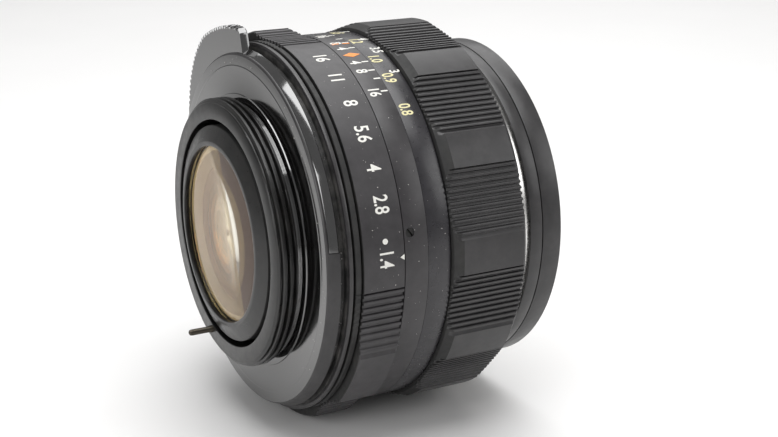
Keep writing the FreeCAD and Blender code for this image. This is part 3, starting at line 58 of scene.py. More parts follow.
# ------------------------------------------------------------------ materials
class Nodes:
    """Short way to build a node material around one Principled shader."""

    def __init__(self, name, color, roughness, metallic=0.0, **sockets):
        self.material = bpy.data.materials.new(name)
        self.material.use_nodes = True
        self.tree = self.material.node_tree
        self.shader = self.tree.nodes["Principled BSDF"]
        self.set("Base Color", (*color, 1.0))
        self.set("Roughness", roughness)
        self.set("Metallic", metallic)
        for key, value in sockets.items():
            self.set(key.replace("_", " "), value)

    def set(self, socket, value):
        self.shader.inputs[socket].default_value = value

    def add(self, kind, **inputs):
        node = self.tree.nodes.new(kind)
        for key, value in inputs.items():
            node.inputs[key.replace("_", " ")].default_value = value
        return node

    def link(self, out, socket):
        self.tree.links.new(out, socket)

    def drive(self, socket, source):
        """Feeds a socket of the shader."""
        self.link(source, self.shader.inputs[socket])

    def coords(self, stretch=(1, 1, 1)):
        """Object coordinates in millimetres, stretched to draw lines out along an axis."""
        source = self.add("ShaderNodeTexCoord")
        mapping = self.add("ShaderNodeMapping", Scale=[1000 * s for s in stretch])
        self.link(source.outputs["Object"], mapping.inputs["Vector"])
        return mapping.outputs["Vector"]

    def noise(self, scale, detail=4.0, rough=0.6, stretch=(1, 1, 1)):
        node = self.add("ShaderNodeTexNoise", Scale=scale, Detail=detail, Roughness=rough)
        self.link(self.coords(stretch), node.inputs["Vector"])
        return node.outputs["Fac"]

    def ramp(self, fac, low, high, a, b):
        node = self.add("ShaderNodeMapRange", From_Min=low, From_Max=high, To_Min=a, To_Max=b)
        self.link(fac, node.inputs["Value"])
        return node.outputs["Result"]

    def mix(self, fac, a, b):
        node = self.tree.nodes.new("ShaderNodeMix")
        node.data_type = "RGBA"
        for socket, value in ((node.inputs[6], a), (node.inputs[7], b)):
            if isinstance(value, tuple):
                socket.default_value = (*value, 1.0)
            else:
                self.link(value, socket)
        self.link(fac, node.inputs[0])
        return node.outputs[2]

    def bump(self, height, distance):
        node = self.add("ShaderNodeBump", Distance=distance, Strength=1.0)
        self.link(height, node.inputs["Height"])
        self.drive("Normal", node.outputs["Normal"])


def finish(name, color, dust, rough_low, rough_high, grain=0.0000012):
    """Painted or anodised finish with a fine grain, uneven gloss and a thin veil of dust."""
    m = Nodes(name, color, rough_low, 0.0, IOR=1.55)
    veil = m.ramp(m.noise(0.28, 6.0, 0.7), 0.42, 0.72, 0.0, 1.0)
    m.drive("Base Color", m.mix(veil, color, dust))
    m.drive("Roughness", m.ramp(m.noise(0.7, 5.0, 0.65), 0.3, 0.75, rough_low, rough_high))
    m.bump(m.noise(9.0, 3.0, 0.7), grain)
    return m.material


def turned_black(name, color, roughness):
    """Black finish on a turned face, whose fine rings draw a highlight out across them."""
    m = Nodes(name, color, roughness, 0.0, IOR=2.5, Anisotropic=0.2, Anisotropic_Rotation=0.25)
    tangent = m.tree.nodes.new("ShaderNodeTangent")
    tangent.direction_type = "RADIAL"
    tangent.axis = "Y"
    m.drive("Tangent", tangent.outputs["Tangent"])
    veil = m.ramp(m.noise(0.5, 6.0, 0.7), 0.45, 0.75, 0.0, 1.0)
    m.drive("Base Color", m.mix(veil, color, tuple(3 * c for c in color)))
    m.drive("Roughness", m.ramp(m.noise(0.8, 5.0), 0.3, 0.7, roughness * 0.8, roughness * 1.25))
    return m.material


def metal(name, color, roughness, stretch=(1, 1, 1)):
    """Bare metal with faint turning marks."""
    m = Nodes(name, color, roughness, 1.0)
    darker = tuple(c * 0.88 for c in color)
    m.drive("Base Color", m.mix(m.noise(1.5, 5.0, 0.6, stretch), darker, color))
    m.drive("Roughness", m.ramp(m.noise(0.9, 4.0), 0.3, 0.7, roughness * 0.75, roughness * 1.3))
    m.bump(m.noise(4.0, 4.0, 0.6, stretch), 0.0000012)
    return m.material


def paint(name, color):
    """Filled engraving, a little uneven."""
    m = Nodes(name, color, 0.55)
    worn = tuple(c * 0.78 for c in color)
    m.drive("Base Color", m.mix(m.noise(3.5, 4.0, 0.7), worn, color))
    return m.material


def coated_glass(name, tint, ior, coat):
    """Polished glass with a coloured coating."""
    m = Nodes(name, tint, 0.0, 0.0, IOR=ior)
    m.set("Transmission Weight", 1.0)
    m.set("Specular Tint", (*coat, 1.0))
    m.drive("Roughness", m.ramp(m.noise(0.5, 5.0), 0.55, 0.8, 0.0, 0.03))
    return m.material


SATIN = finish("black_satin", (0.018, 0.017, 0.018), (0.034, 0.032, 0.033), 0.3, 0.44)
BAND = finish("black_band", (0.021, 0.019, 0.021), (0.036, 0.033, 0.036), 0.34, 0.46)
SCALE = finish("black_scale", (0.016, 0.015, 0.018), (0.028, 0.026, 0.03), 0.24, 0.36)
GRIP = finish("black_grip", (0.016, 0.015, 0.016), (0.03, 0.028, 0.029), 0.3, 0.42)
GLOSS = finish("black_gloss", (0.005, 0.005, 0.005), (0.014, 0.013, 0.012), 0.26, 0.4)
FLANGE = turned_black("black_turned", (0.003, 0.0028, 0.0028), 0.09)
MATT = finish("black_matt", (0.006, 0.006, 0.006), (0.018, 0.017, 0.016), 0.55, 0.75, 0.000004)
DUSTY = finish("black_dusty", (0.008, 0.008, 0.008), (0.09, 0.085, 0.08), 0.5, 0.7, 0.000004)
BRIGHT = metal("bright_barrel", (0.83, 0.82, 0.8), 0.24, (1, 12, 1))
STEEL = metal("steel", (0.5, 0.49, 0.47), 0.3)
# Bright gold metal: partly a metal finish, partly painted light standing in for the golden light seen
# through the yellowed lenses.
PAINTED_GLINT_GOLD = metal("gold_cell_painted_glint", (0.97, 0.84, 0.6), 0.14)
# Pale cream lining: painted light that stands in for the bright light seen through the lenses inside the
# rear cell.
PAINTED_LIGHT_LINING = finish("gold_lining_painted_light", (0.96, 0.78, 0.46), (0.9, 0.7, 0.42), 0.4, 0.6)
BRASS = metal("brass", (0.5, 0.4, 0.22), 0.34)
PIN = metal("pin_steel", (0.09, 0.08, 0.065), 0.36)
BLADE = metal("blade_steel", (0.09, 0.09, 0.095), 0.38)
WHITE = paint("white_fill", (0.86, 0.85, 0.8))
YELLOW = paint("yellow_fill", (0.8, 0.74, 0.42))
ORANGE = paint("orange_fill", (0.9, 0.3, 0.06))
LINT = paint("dust", (0.62, 0.6, 0.57))
GLASS_OUTER = coated_glass("glass_outer", (1.0, 0.94, 0.82), 1.62, (1.0, 0.5, 0.25))
GLASS_INNER = coated_glass("glass_inner", (1.0, 0.88, 0.68), 1.62, (1.0, 0.66, 0.32))


# ------------------------------------------------------------------ geometry helpers
def at(r, angle, y):
    """Point in metres from a radius, an angle about the lens axis and a place along it in millimetres."""
    a = math.radians(angle)
    return (r * math.sin(a) * MM, y * MM, r * math.cos(a) * MM)


def piece(name, verts, faces, material, body, slot=None, nodes=(), sharp=32):
    """Makes a mesh piece that rides a body and may stand for CAD nodes."""
    mesh = bpy.data.meshes.new(name)
    mesh.from_pydata(verts, [], faces)
    mesh.validate()
    mesh.materials.append(material)
    obj = bpy.data.objects.new(name, mesh)
    bpy.context.scene.collection.objects.link(obj)
    mesh.polygons.foreach_set("use_smooth", [True] * len(mesh.polygons))
    mesh.set_sharp_from_angle(angle=math.radians(sharp))
    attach(obj, body)
    if nodes:
        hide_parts(*nodes)
    return obj


def softened(points, size):
    """Closed outline of (r, y) with every corner rounded by a small curve."""
    out = []
    count = len(points)
    for i, (r, y) in enumerate(points):
        before, after = points[i - 1], points[(i + 1) % count]
        d_before = math.dist((r, y), before)
        d_after = math.dist((r, y), after)
        step = min(size, 0.42 * d_before, 0.42 * d_after)
        a = (r + (before[0] - r) * step / d_before, y + (before[1] - y) * step / d_before)
        b = (r + (after[0] - r) * step / d_after, y + (after[1] - y) * step / d_after)
        middle = (0.25 * a[0] + 0.5 * r + 0.25 * b[0], 0.25 * a[1] + 0.5 * y + 0.25 * b[1])
        out += [a, middle, b]
    return out


def lofted(name, stations, material, body, closed=True, sharp=32, **extra):
    """Skin through closed outlines of (r, y) at given angles. Open skins get end caps."""
    size = len(stations[0][1])
    verts = [at(r, angle, y) for angle, outline in stations for r, y in outline]
    count = len(stations)
    faces = []
    for i in range(count if closed else count - 1):
        a, b = i * size, ((i + 1) % count) * size
        for j in range(size):
            k = (j + 1) % size
            faces.append((a + j, a + k, b + k, b + j))
    if not closed:
        faces.append(tuple(range(size))[::-1])
        faces.append(tuple(range((count - 1) * size, count * size)))
    obj = piece(name, verts, faces, material, body, sharp=sharp, **extra)
    flip_outward(obj)
    return obj


def repaint(obj, material, chosen):
    """Gives the faces that pass a test a second material."""
    obj.data.materials.append(material)
    for face in obj.data.polygons:
        if chosen(face):
            face.material_index = 1


def face_radius(face):
    return math.hypot(face.center.x, face.center.z)


def circle(radius, steps):
    """Points (u, v) round a circle."""
    turns = [2 * math.pi * i / steps for i in range(steps)]
    return [(radius * math.cos(t), radius * math.sin(t)) for t in turns]


def flip_outward(obj):
    """Turns the faces outward if the enclosed volume comes out negative."""
    mesh = obj.data
    volume = 0.0
    mesh.calc_loop_triangles()
    for tri in mesh.loop_triangles:
        a, b, c = (mesh.vertices[i].co for i in tri.vertices)
        volume += a.dot(b.cross(c))
    if volume < 0:
        mesh.flip_normals()


def turned(name, outline, material, body, edge=0.06, **extra):
    """Ring turned from a closed outline of (r, y), with a station each degree."""
    profile = softened(outline, edge)
    stations = [(float(angle), profile) for angle in range(360)]
    return lofted(name, stations, material, body, **extra)


def drill(obj, places, radius):
    """Bores holes that point at the lens axis through a ring. places: (angle, y)."""
    steps = 32
    reach = (26.0, 31.0)
    rim = circle(radius, steps)
    for angle, y in places:
        turn = Matrix.Rotation(math.radians(angle), 3, "Y")
        verts = [tuple(turn @ Vector((u, v + y, r)) * MM) for r in reach for u, v in rim]
        faces = [(i, (i + 1) % steps, steps + (i + 1) % steps, steps + i) for i in range(steps)]
        faces += [tuple(range(steps))[::-1], tuple(range(steps, 2 * steps))]
        mesh = bpy.data.meshes.new("drill")
        mesh.from_pydata(verts, [], faces)
        cutter = bpy.data.objects.new("drill", mesh)
        bpy.context.scene.collection.objects.link(cutter)
        modifier = obj.modifiers.new("hole", "BOOLEAN")
        modifier.operation = "DIFFERENCE"
        modifier.solver = "EXACT"
        modifier.object = cutter
        bored = bpy.data.meshes.new_from_object(obj.evaluated_get(bpy.context.evaluated_depsgraph_get()))
        obj.modifiers.clear()
        obj.data = bored
        bpy.data.objects.remove(cutter)


def blend_steps(a, b, count):
    """Values from a to b in equal steps, both ends included."""
    return [a + (b - a) * i / count for i in range(count + 1)]


def smooth(t):
    """Soft step from 0 to 1."""
    t = min(1.0, max(0.0, t))
    return t * t * (3 - 2 * t)


def ridge(t, land=0.5, wall=0.16):
    """Depth share of one ridge period: 0 on the land, 1 in the groove."""
    distance = abs(t % 1.0 - 0.5)
    return smooth((0.5 - land / 2 - distance) / wall + 0.5)


# ------------------------------------------------------------------ knurled rings
def valley_radius(position, r_edge, r_mid):
    """Hollow arc across a valley, with position from 0 to 1."""
    return r_mid + (r_edge - r_mid) * (2 * position - 1) ** 2


def knurled(name, spans, envelope, ys, bore, depth, material, body, limit=None, **extra):
    """Ring with plain and ridged spans.

    spans: (start, sweep, radius function of position, ridge count). envelope and limit: most radius at a
    place y along the axis.
    """
    stations = []
    for start, sweep, radius, ridges in spans:
        steps = ridges * 10 if ridges else max(2, int(sweep / 0.9))
        for i in range(steps):
            position = i / steps
            cut = depth * ridge(position * ridges + 0.5) if ridges else 0.0
            r_top = radius(position) - cut
            outline = []
            for y in ys:
                r = min(envelope(y), r_top)
                outline.append((min(r, limit(y)) if limit else r, y))
            outline += [(bore, ys[-1]), (bore, ys[0])]
            stations.append((start + sweep * position, outline))
    return lofted(name, stations, material, body, sharp=26, **extra)


def edge_ys(front, front_chamfer, rear_chamfer, rear, extra=()):
    """Places along the axis, close together on the two chamfers."""
    ys = blend_steps(front, front + front_chamfer, 6)
    ys += blend_steps(front + front_chamfer + 0.05, rear - rear_chamfer - 0.05, 6)
    ys += blend_steps(rear - rear_chamfer, rear, 10)
    return sorted(set(round(y, 4) for y in list(ys) + list(extra)))


def focus_grip():
    """Twelve plain hills with a ridged hollow between each two."""
    front, rear, top, valley = -32.12, -19.47, 30.48, 29.72
    front_chamfer, rear_chamfer, rear_r = 0.8, 1.5, 29.5
    hills, first_hill, hill_sweep, ridges = 12, -58.0, 11.0, 11
    pitch = 360.0 / hills
    spans = []

    def hollow(p):
        return valley_radius(p, top, valley)

    for i in range(hills):
        hill = first_hill + pitch * i
        spans.append((hill - hill_sweep / 2, hill_sweep, lambda p: top, 0))
        spans.append((hill + hill_sweep / 2, pitch - hill_sweep, hollow, ridges))

    def envelope(y):
        from_rear = (rear - y) / rear_chamfer
        from_front = (y - front) / front_chamfer
        r = top
        if from_rear < 1:
            rise = 0.25 + 0.75 * from_rear if from_rear > 0.1 else 3.25 * from_rear
            r = min(r, rear_r + (top - rear_r) * rise)
        if from_front < 1:
            r = min(r, top - 0.78 * (1 - from_front))
        return r

    ys = edge_ys(front, front_chamfer, rear_chamfer, rear, extra=(rear - rear_chamfer / 10,))
    grip = knurled("focus_grip_skin", spans, envelope, ys, 27.95, 0.42, GRIP, "focus_control",
                   slot="black_anodised", nodes=("focus_grip",))
    # The rear chamfer gets the darker matt black as painted shade, for the shadow that lies on it.
    chamfer = (rear - rear_chamfer) * MM
    repaint(grip, MATT, lambda face: face.center.y > chamfer and face.normal.y > 0.3)


def aperture_ring():
    """Plain band for the numbers, then hills with a ridged hollow before and after each."""
    front, rear, band, hill, floor = -11.63, -3.92, RING_R, HILL_R, 29.3
    front_chamfer, rear_chamfer = 0.65, 1.35
    band_start, band_sweep, hills, hill_sweep, ridges = -94.5, 88.5, 6, 22.5, 9
    valley = (360 - band_sweep - hills * hill_sweep) / (hills + 1)
    spans = [(band_start, band_sweep, lambda p: band, 0)]
    angle = band_start + band_sweep
    for i in range(hills + 1):
        left = band if i == 0 else hill
        right = band if i == hills else hill

        def hollow(p, left=left, right=right):
            r_edge = left if p < 0.5 else right
            return valley_radius(p, r_edge, floor if r_edge > band else band)

        spans.append((angle, valley, hollow, ridges))
        angle += valley
        if i < hills:
            spans.append((angle, hill_sweep, lambda p: hill, 0))
            angle += hill_sweep

    def envelope(y):
        from_rear = (rear - y) / rear_chamfer
        from_front = (y - front) / front_chamfer
        r = hill
        if from_rear < 1:
            r = min(r, 29.0 + 1.58 * from_rear)
        if from_front < 1:
            r = min(r, hill - 0.85 * (1 - from_front))
        return r

    lip, groove_rear, groove_front, groove_r, lip_r = -4.0, -4.72, -5.05, 28.5, 29.05

    def limit(y):
        """Radius cut down by the narrow groove and, behind it, by the bevelled lip."""
        if y > groove_rear:
            return lip_r - 1.5 * max(0.0, y - lip)
        if y > groove_front:
            return groove_r
        return hill

    wall = 0.001  # the groove's walls are this far from upright
    extra = [lip, -4.6, -5.12]
    extra += [groove + side for groove in (groove_rear, groove_front) for side in (-wall, wall)]
    ys = edge_ys(front, front_chamfer, rear_chamfer, rear, extra=extra)
    ring = knurled("aperture_ring_skin", spans, envelope, ys, 27.35, 0.36, BAND, "aperture_control",
                   limit=limit, slot="black_anodised", nodes=("aperture_ring",))
    repaint(ring, MATT, lambda face: face.center.y > -5.1 * MM)


# ------------------------------------------------------------------ fixed rings
def mount():
    """Flange with the cut for the switch plate."""
    start, end = -82.0, 85.0

    def outline(recessed):
        bottom = -0.52 if recessed else -1.98
        r_bottom = 27.6 if recessed else 28.17
        points = [(17.8, 1.0), (20.1, 1.0), (20.1, 0.22), (21.35, 0.22), (21.38, 0.02), (25.6, 0.0)]
        points += [(25.75, -0.05), (27.3, -0.12), (27.5, -0.3), (r_bottom, bottom)]
        points += [(24.65, bottom), (24.6 if recessed else 24.0, -1.98), (17.8, -1.98)]
        return softened(points, 0.05)

    stations = []
    plain, cut = outline(False), outline(True)
    steps = 300
    for i in range(steps + 1):
        stations.append((end + (360 - (end - start)) * i / steps, plain))
    for i in range(steps + 1):
        stations.append((start + (end - start) * i / steps, cut))
    flange = lofted("flange_skin", stations, FLANGE, "fixed_barrel", slot="black_anodised",
                    nodes=("mount_plate",))
    repaint(flange, SATIN, lambda face: face_radius(face) > 27.3 * MM)
    thread()


def thread():
    """Threaded boss with a true helix, which fades out at the foot and ends in a chamfer."""
    root, crest, pitch = 20.34, 20.98, 1.0
    foot, end = 0.9, 4.22
    rows = 72
    stations = []
    for angle in range(360):
        outline = []
        for j in range(rows + 1):
            y = foot + (end - foot) * j / rows
            phase = (y / pitch - angle / 360.0) % 1.0
            tooth = smooth((0.5 - abs(phase - 0.5)) * 4.2 - 0.35)
            fade = min(1.0, max(0.0, (y - foot - 0.25) / 0.25))
            chamfer = 20.2 + (end - y) * 1.25
            r = min(root + (crest - root) * tooth * fade, max(chamfer, 20.2))
            outline.append((r, y))
        outline += [(17.85, end), (17.77, end - 0.08), (17.77, foot)]
        stations.append((angle, outline))
    lofted("mount_thread", stations, GLOSS, "fixed_barrel", slot="black_anodised", sharp=40)


def barrel():
    """Rear wall with its lip, guide tube and sleeve."""
    turned("barrel_skin", [
        (23.0, -2.05), (23.0, -3.55), (23.7, -3.55), (23.7, -30.5), (24.55, -30.5), (24.55, -15.55),
        (27.25, -15.55), (27.25, -5.05), (26.4, -5.05), (26.4, -14.05), (24.55, -14.05), (24.55, -3.55),
        (28.94, -3.55), (28.94, -2.96), (27.2, -2.96), (27.2, -2.05),
    ], DUSTY, "fixed_barrel", slot="inner_black", nodes=("main_barrel",))
    turned("barrel_lip", [(28.3, -3.53), (28.95, -3.53), (28.95, -2.94), (28.3, -2.94)],
           SATIN, "fixed_barrel", slot="black_anodised")
    ring = turned("depth_scale", [(27.26, -15.58), (RING_R, -15.58), (RING_R, -11.77), (27.26, -11.77)],
                  BAND, "fixed_barrel", edge=0.025, slot="black_anodised", nodes=("dof_ring",))
    drill(ring, [(angle, -12.75) for angle in (-79.0, 41.0, 161.0)], 0.72)


def lobe_radius(angle):
    """Outline of the switch lobe with its serrated edge."""
    table = [(3.0, 27.6), (4.2, 30.6), (5.4, 31.3), (8.0, 31.6), (16.0, 32.0), (24.0, 32.4), (32.0, 32.85),
             (38.0, 32.5), (44.0, 31.8), (51.0, 30.7), (57.0, 29.4), (62.0, 28.3), (64.0, 27.6)]
    if angle <= table[0][0] or angle >= table[-1][0]:
        return 0.0
    for (a, ra), (b, rb) in zip(table, table[1:]):
        if angle <= b:
            r = ra + (rb - ra) * (angle - a) / (b - a)
            break
    serrated = smooth((angle - 5.0) / 1.0) * smooth((60.0 - angle) / 3.0)
    return r - 0.42 * serrated * ridge(angle / 1.75, 0.45, 0.2)


def switch():
    """Curved plate of the automatic/manual switch, let into the flange, with its lobe."""
    top, bottom, edge = -0.62, -1.93, 0.16
    start, sweep, steps = -81.8, 149.8, 1500
    stations = []
    for i in range(steps + 1):
        angle = start + sweep * i / steps
        lobe = lobe_radius(angle)
        r_top, r_bottom = max(27.62, lobe), max(28.1, lobe)
        stations.append((angle, [
            (24.72, top), (r_top - edge, top), (r_top - 0.03, top - edge), (r_bottom, bottom + edge),
            (r_bottom - edge, bottom), (24.72, bottom),
        ]))
    lofted("switch_plate", stations, FLANGE, "auto_manual_switch", closed=False, sharp=28,
           slot="switch_black", nodes=("am_switch",))


# ------------------------------------------------------------------ focus and front
def focus_rings():
    """Distance ring and the lock ring in front of the grip."""
    turned("distance_ring", [(27.92, -19.28), (RING_R, -19.28), (RING_R, -15.62), (27.92, -15.62)],
           SCALE, "focus_control", edge=0.025, slot="black_anodised", nodes=("distance_scale_ring",))
    turned("lock_ring", [(27.95, -32.03), (28.98, -32.03), (28.98, -31.26), (27.95, -31.26)],
           MATT, "focus_control", slot="bright_barrel", nodes=("focus_lock_ring",))


def front():
    """Sliding barrel, front collar, threaded filter ring and the blank ring round the front lens."""
    turned("bright_barrel", [
        (24.62, -20.05), (25.98, -20.05), (25.98, -35.28), (22.4, -35.28), (22.4, -33.95), (24.62, -33.95),
    ], BRIGHT, "optics", slot="bright_barrel", nodes=("helicoid_barrel",))
    turned("front_collar_skin", [(22.4, -37.43), (FRONT_R, -37.43), (FRONT_R, -35.32), (22.4, -35.32)],
           SATIN, "optics", edge=0.1, slot="black_anodised", nodes=("front_collar",))
    outline = [(FRONT_R, -37.58), (22.4, -37.58), (22.4, -38.0), (24.6, -38.0), (24.6, -38.9)]
    crest, root, pitch = 24.14, 24.48, 0.75
    groove = -38.9
    while groove > -40.5:
        outline += [(crest, groove - 0.08), (crest, groove - 0.2)]
        outline += [(root, groove - 0.42), (root, groove - 0.47)]
        groove -= pitch
    outline += [(crest, -40.8), (24.45, -41.05), (26.1, -41.07), (FRONT_R, -40.8)]
    turned("filter_ring_skin", outline, SATIN, "optics", edge=0.05, slot="black_anodised",
           nodes=("filter_ring",))
    turned("blank_name_ring", [
        (23.95, -38.02), (23.95, -38.68), (23.3, -38.88), (18.78, -37.28), (18.78, -35.52), (19.95, -35.52),
        (19.95, -37.22), (21.65, -37.22), (21.65, -38.02),
    ], SATIN, "optics", slot="black_anodised", nodes=("name_ring",))


# ------------------------------------------------------------------ rear
def rear():
    """Rear cell with a pale lining in its bore, whose colour is painted light standing in for the light seen
    through the lenses, and the ring that holds the last lens.
    """
    cell = turned("rear_cell_skin", [
        (12.0, -14.98), (12.0, -14.37), (12.82, -14.35), (12.82, -6.1), (13.62, -6.1), (13.62, 1.84),
        (14.02, 1.84), (14.02, 4.02), (16.88, 4.05), (16.88, -13.6), (18.48, -13.6), (18.48, -14.98),
    ], MATT, "optics", slot="inner_black", nodes=("rear_cell",))
    # The inner bore gets the pale lining as painted light.
    repaint(cell, PAINTED_LIGHT_LINING, lambda face: face_radius(face) < 13.7 * MM)
    turned("rear_ring_skin", [
        (13.78, 4.26), (13.78, 5.02), (14.0, 5.08), (14.5, 5.05), (16.86, 4.12), (14.05, 4.1),
        (14.05, 4.26),
    ], GLOSS, "optics", edge=0.08, slot="inner_black", nodes=("rear_retaining_ring",))


def lens_surface(vertex, curve, r_max, rings):
    """Points (r, y) out from a surface's vertex."""
    points = []
    for i in range(rings + 1):
        h = r_max * i / rings
        points.append((h, vertex + math.copysign(abs(curve) - math.sqrt(curve ** 2 - h ** 2), curve)))
    return points


def glass(name, node, front_side, rear_side, rim, material):
    """Element turned from two surfaces of (vertex, radius of curvature)."""
    steps, rings = 192, 40
    profile = lens_surface(*front_side, rim, rings) + lens_surface(*rear_side, rim, rings)[::-1]
    verts = [(0.0, profile[0][1] * MM, 0.0), (0.0, profile[-1][1] * MM, 0.0)]
    inner = profile[1:-1]
    for i in range(steps):
        verts += [at(r, 360.0 * i / steps, y) for r, y in inner]
    size = len(inner)
    faces = []
    for i in range(steps):
        a, b = 2 + i * size, 2 + ((i + 1) % steps) * size
        faces.append((0, b, a))
        faces.append((1, a + size - 1, b + size - 1))
        faces += [(a + j, b + j, b + j + 1, a + j + 1) for j in range(size - 1)]
    obj = piece(name, verts, faces, material, "optics", slot="glass_coated", nodes=(node,), sharp=30)
    flip_outward(obj)


def elements():
    """First and last lens. The lenses between them keep their CAD shapes."""
    glass("glass_1", "lens_1", (-38.6, 42.0), (-33.6, 300.0), 18.75, GLASS_INNER)
    glass("glass_7", "lens_7", (1.0, 110.0), (4.9, -140.0), 13.95, GLASS_OUTER)


# ------------------------------------------------------------------ pin
def pin():
    """Stop-down pin, opposite the index. radii: (y, r) from its inner end."""
    centre = Vector(at(18.6, INDEX + 180.0, 0.0)) / MM
    radii = [(-2.6, 0.0), (-2.6, 0.5), (-2.5, 0.59), (4.6, 0.59), (4.8, 0.5), (7.8, 0.5), (8.1, 0.42),
             (8.24, 0.2), (8.24, 0.0)]
    steps = 48
    verts, faces = [], []
    for y, r in radii:
        verts += [((centre.x + u) * MM, y * MM, (centre.z + v) * MM) for u, v in circle(r, steps)]
    for j in range(len(radii) - 1):
        for i in range(steps):
            k = (i + 1) % steps
            faces.append((j * steps + i, j * steps + k, (j + 1) * steps + k, (j + 1) * steps + i))
    obj = piece("stop_down_pin_skin", verts, faces, PIN, "stop_down_pin", slot="brass", nodes=("push_pin",))
    flip_outward(obj)


# ------------------------------------------------------------------ markings
def glyph_mesh(text, size, squeeze):
    """Points and faces of a flat text, squeezed in width."""
    curve = bpy.data.curves.new("text_" + text, "FONT")
    curve.body = text
    curve.size = size
    curve.align_x = "CENTER"
    curve.align_y = "CENTER"
    curve.offset = 0.045
    curve.extrude = MARK_HALF
    curve.resolution_u = 6
    obj = bpy.data.objects.new("text_" + text, curve)
    bpy.context.scene.collection.objects.link(obj)
    depsgraph = bpy.context.evaluated_depsgraph_get()
    mesh = obj.evaluated_get(depsgraph).to_mesh()
    points = [(v.co.x * squeeze, v.co.y, v.co.z) for v in mesh.vertices]
    faces = [tuple(p.vertices) for p in mesh.polygons]
    obj.to_mesh_clear()
    bpy.data.objects.remove(obj)
    bpy.data.curves.remove(curve)
    return points, faces


def marks(name, body, material, entries):
    """Joins flat marks bent round a ring. entries: (points, faces, angle, y) with points in millimetres."""
    verts, faces = [], []
    for points, polygons, angle, y in entries:
        base = len(verts)
        for u, v, w in points:
            verts.append(at(MARK_R + w, angle - math.degrees(u / MARK_R), y - v))
        faces += [tuple(base + i for i in polygon) for polygon in polygons]
    piece(name, verts, faces, material, body, slot="black_anodised", sharp=30)


def plate(outline):
    """Thin plate from a flat outline of (u, v)."""
    count = len(outline)
    points = [(u, v, w) for w in (MARK_HALF, -MARK_HALF) for u, v in outline]
    faces = [tuple(range(count)), tuple(range(2 * count - 1, count - 1, -1))]
    faces += [(i, i + count, (i + 1) % count + count, (i + 1) % count) for i in range(count)]
    return points, faces


def bar(width, length):
    """Line along the lens axis."""
    return plate([(-width / 2, -length / 2), (width / 2, -length / 2), (width / 2, length / 2),
                  (-width / 2, length / 2)])


def disc(radius):
    """Round dot."""
    return plate(circle(radius, 24))


def words(text, size, angle, y, squeeze=0.72):
    """Entry for marks() that holds a text."""
    points, faces = glyph_mesh(text, size, squeeze)
    return points, faces, angle, y


def focus_angle(metres):
    """Ring angle of a distance mark. The travel for the close marks is listed separately."""
    close = {1.0: 2.786, 0.9: 3.137, 0.8: 3.59}
    travel = close.get(metres) or REST_TRAVEL * REST_DISTANCE / metres
    return INDEX - (travel - REST_TRAVEL) * TURN_PER_MM


def markings():
    """Stops, depth of field with its index, and distances in metres and feet."""
    stops = ["16", "11", "8", "5.6", "4", "2.8"]
    entries = [words(text, 3.15, INDEX - STOP_STEP * i, STOP_Y) for i, text in enumerate(stops)]
    entries.append(words("1.4", 3.15, INDEX - 6.48 * STOP_STEP, STOP_Y))
    entries.append((*disc(0.42), INDEX - 6.0 * STOP_STEP, STOP_Y))
    entries.append((*plate([(-0.42, 0.3), (0.42, 0.3), (0.0, -0.35)]), INDEX - 6.5 * STOP_STEP, -11.3))
    marks("stop_numbers", "aperture_control", WHITE, entries)

    entries = []
    number_y, tick_y = -13.25, -14.95
    for text, offset in (("4", 4.4), ("8", 8.8), ("", 12.6), ("16", 17.8)):
        for side in (-1, 1):
            angle = INDEX + side * offset
            if text:
                entries.append(words(text, 2.55, angle, number_y, 0.7))
            entries.append((*bar(0.24, 1.1), angle, tick_y))
    marks("depth_numbers", "fixed_barrel", WHITE, entries)
    diamond = plate([(0.0, -1.45), (0.66, 0.0), (0.0, 1.45), (-0.66, 0.0)])
    marks("index_marks", "fixed_barrel", ORANGE, [
        (*diamond, INDEX, -13.8),
        (*bar(0.26, 1.2), INDEX + 8.0, -14.9),
        words("R", 1.7, INDEX + 8.2, -13.1, 0.6),
    ])

    metres = [(1.0, "1.0"), (0.9, "0.9"), (0.8, "0.8"), (1.2, "1.2"), (1.5, "1.5"), (2.0, "2"), (3.0, "3"),
              (5.0, "5"), (7.0, "7"), (15.0, "15"), (1000.0, "∞")]
    feet = [(1.067, "3.5"), (0.914, "3"), (1.22, "4"), (1.524, "5"), (2.13, "7"), (3.05, "10"), (4.57, "15"),
            (7.62, "25"), (15.2, "50"), (1000.0, "∞")]
    metre_y, feet_y, offset = -16.85, -18.35, 1.1
    marks("metre_numbers", "focus_control", YELLOW,
          [words(text, 2.6, focus_angle(d) - offset, metre_y, 0.66) for d, text in metres])
    marks("feet_numbers", "focus_control", WHITE,
          [words(text, 2.35, focus_angle(d) - offset, feet_y, 0.66) for d, text in feet])


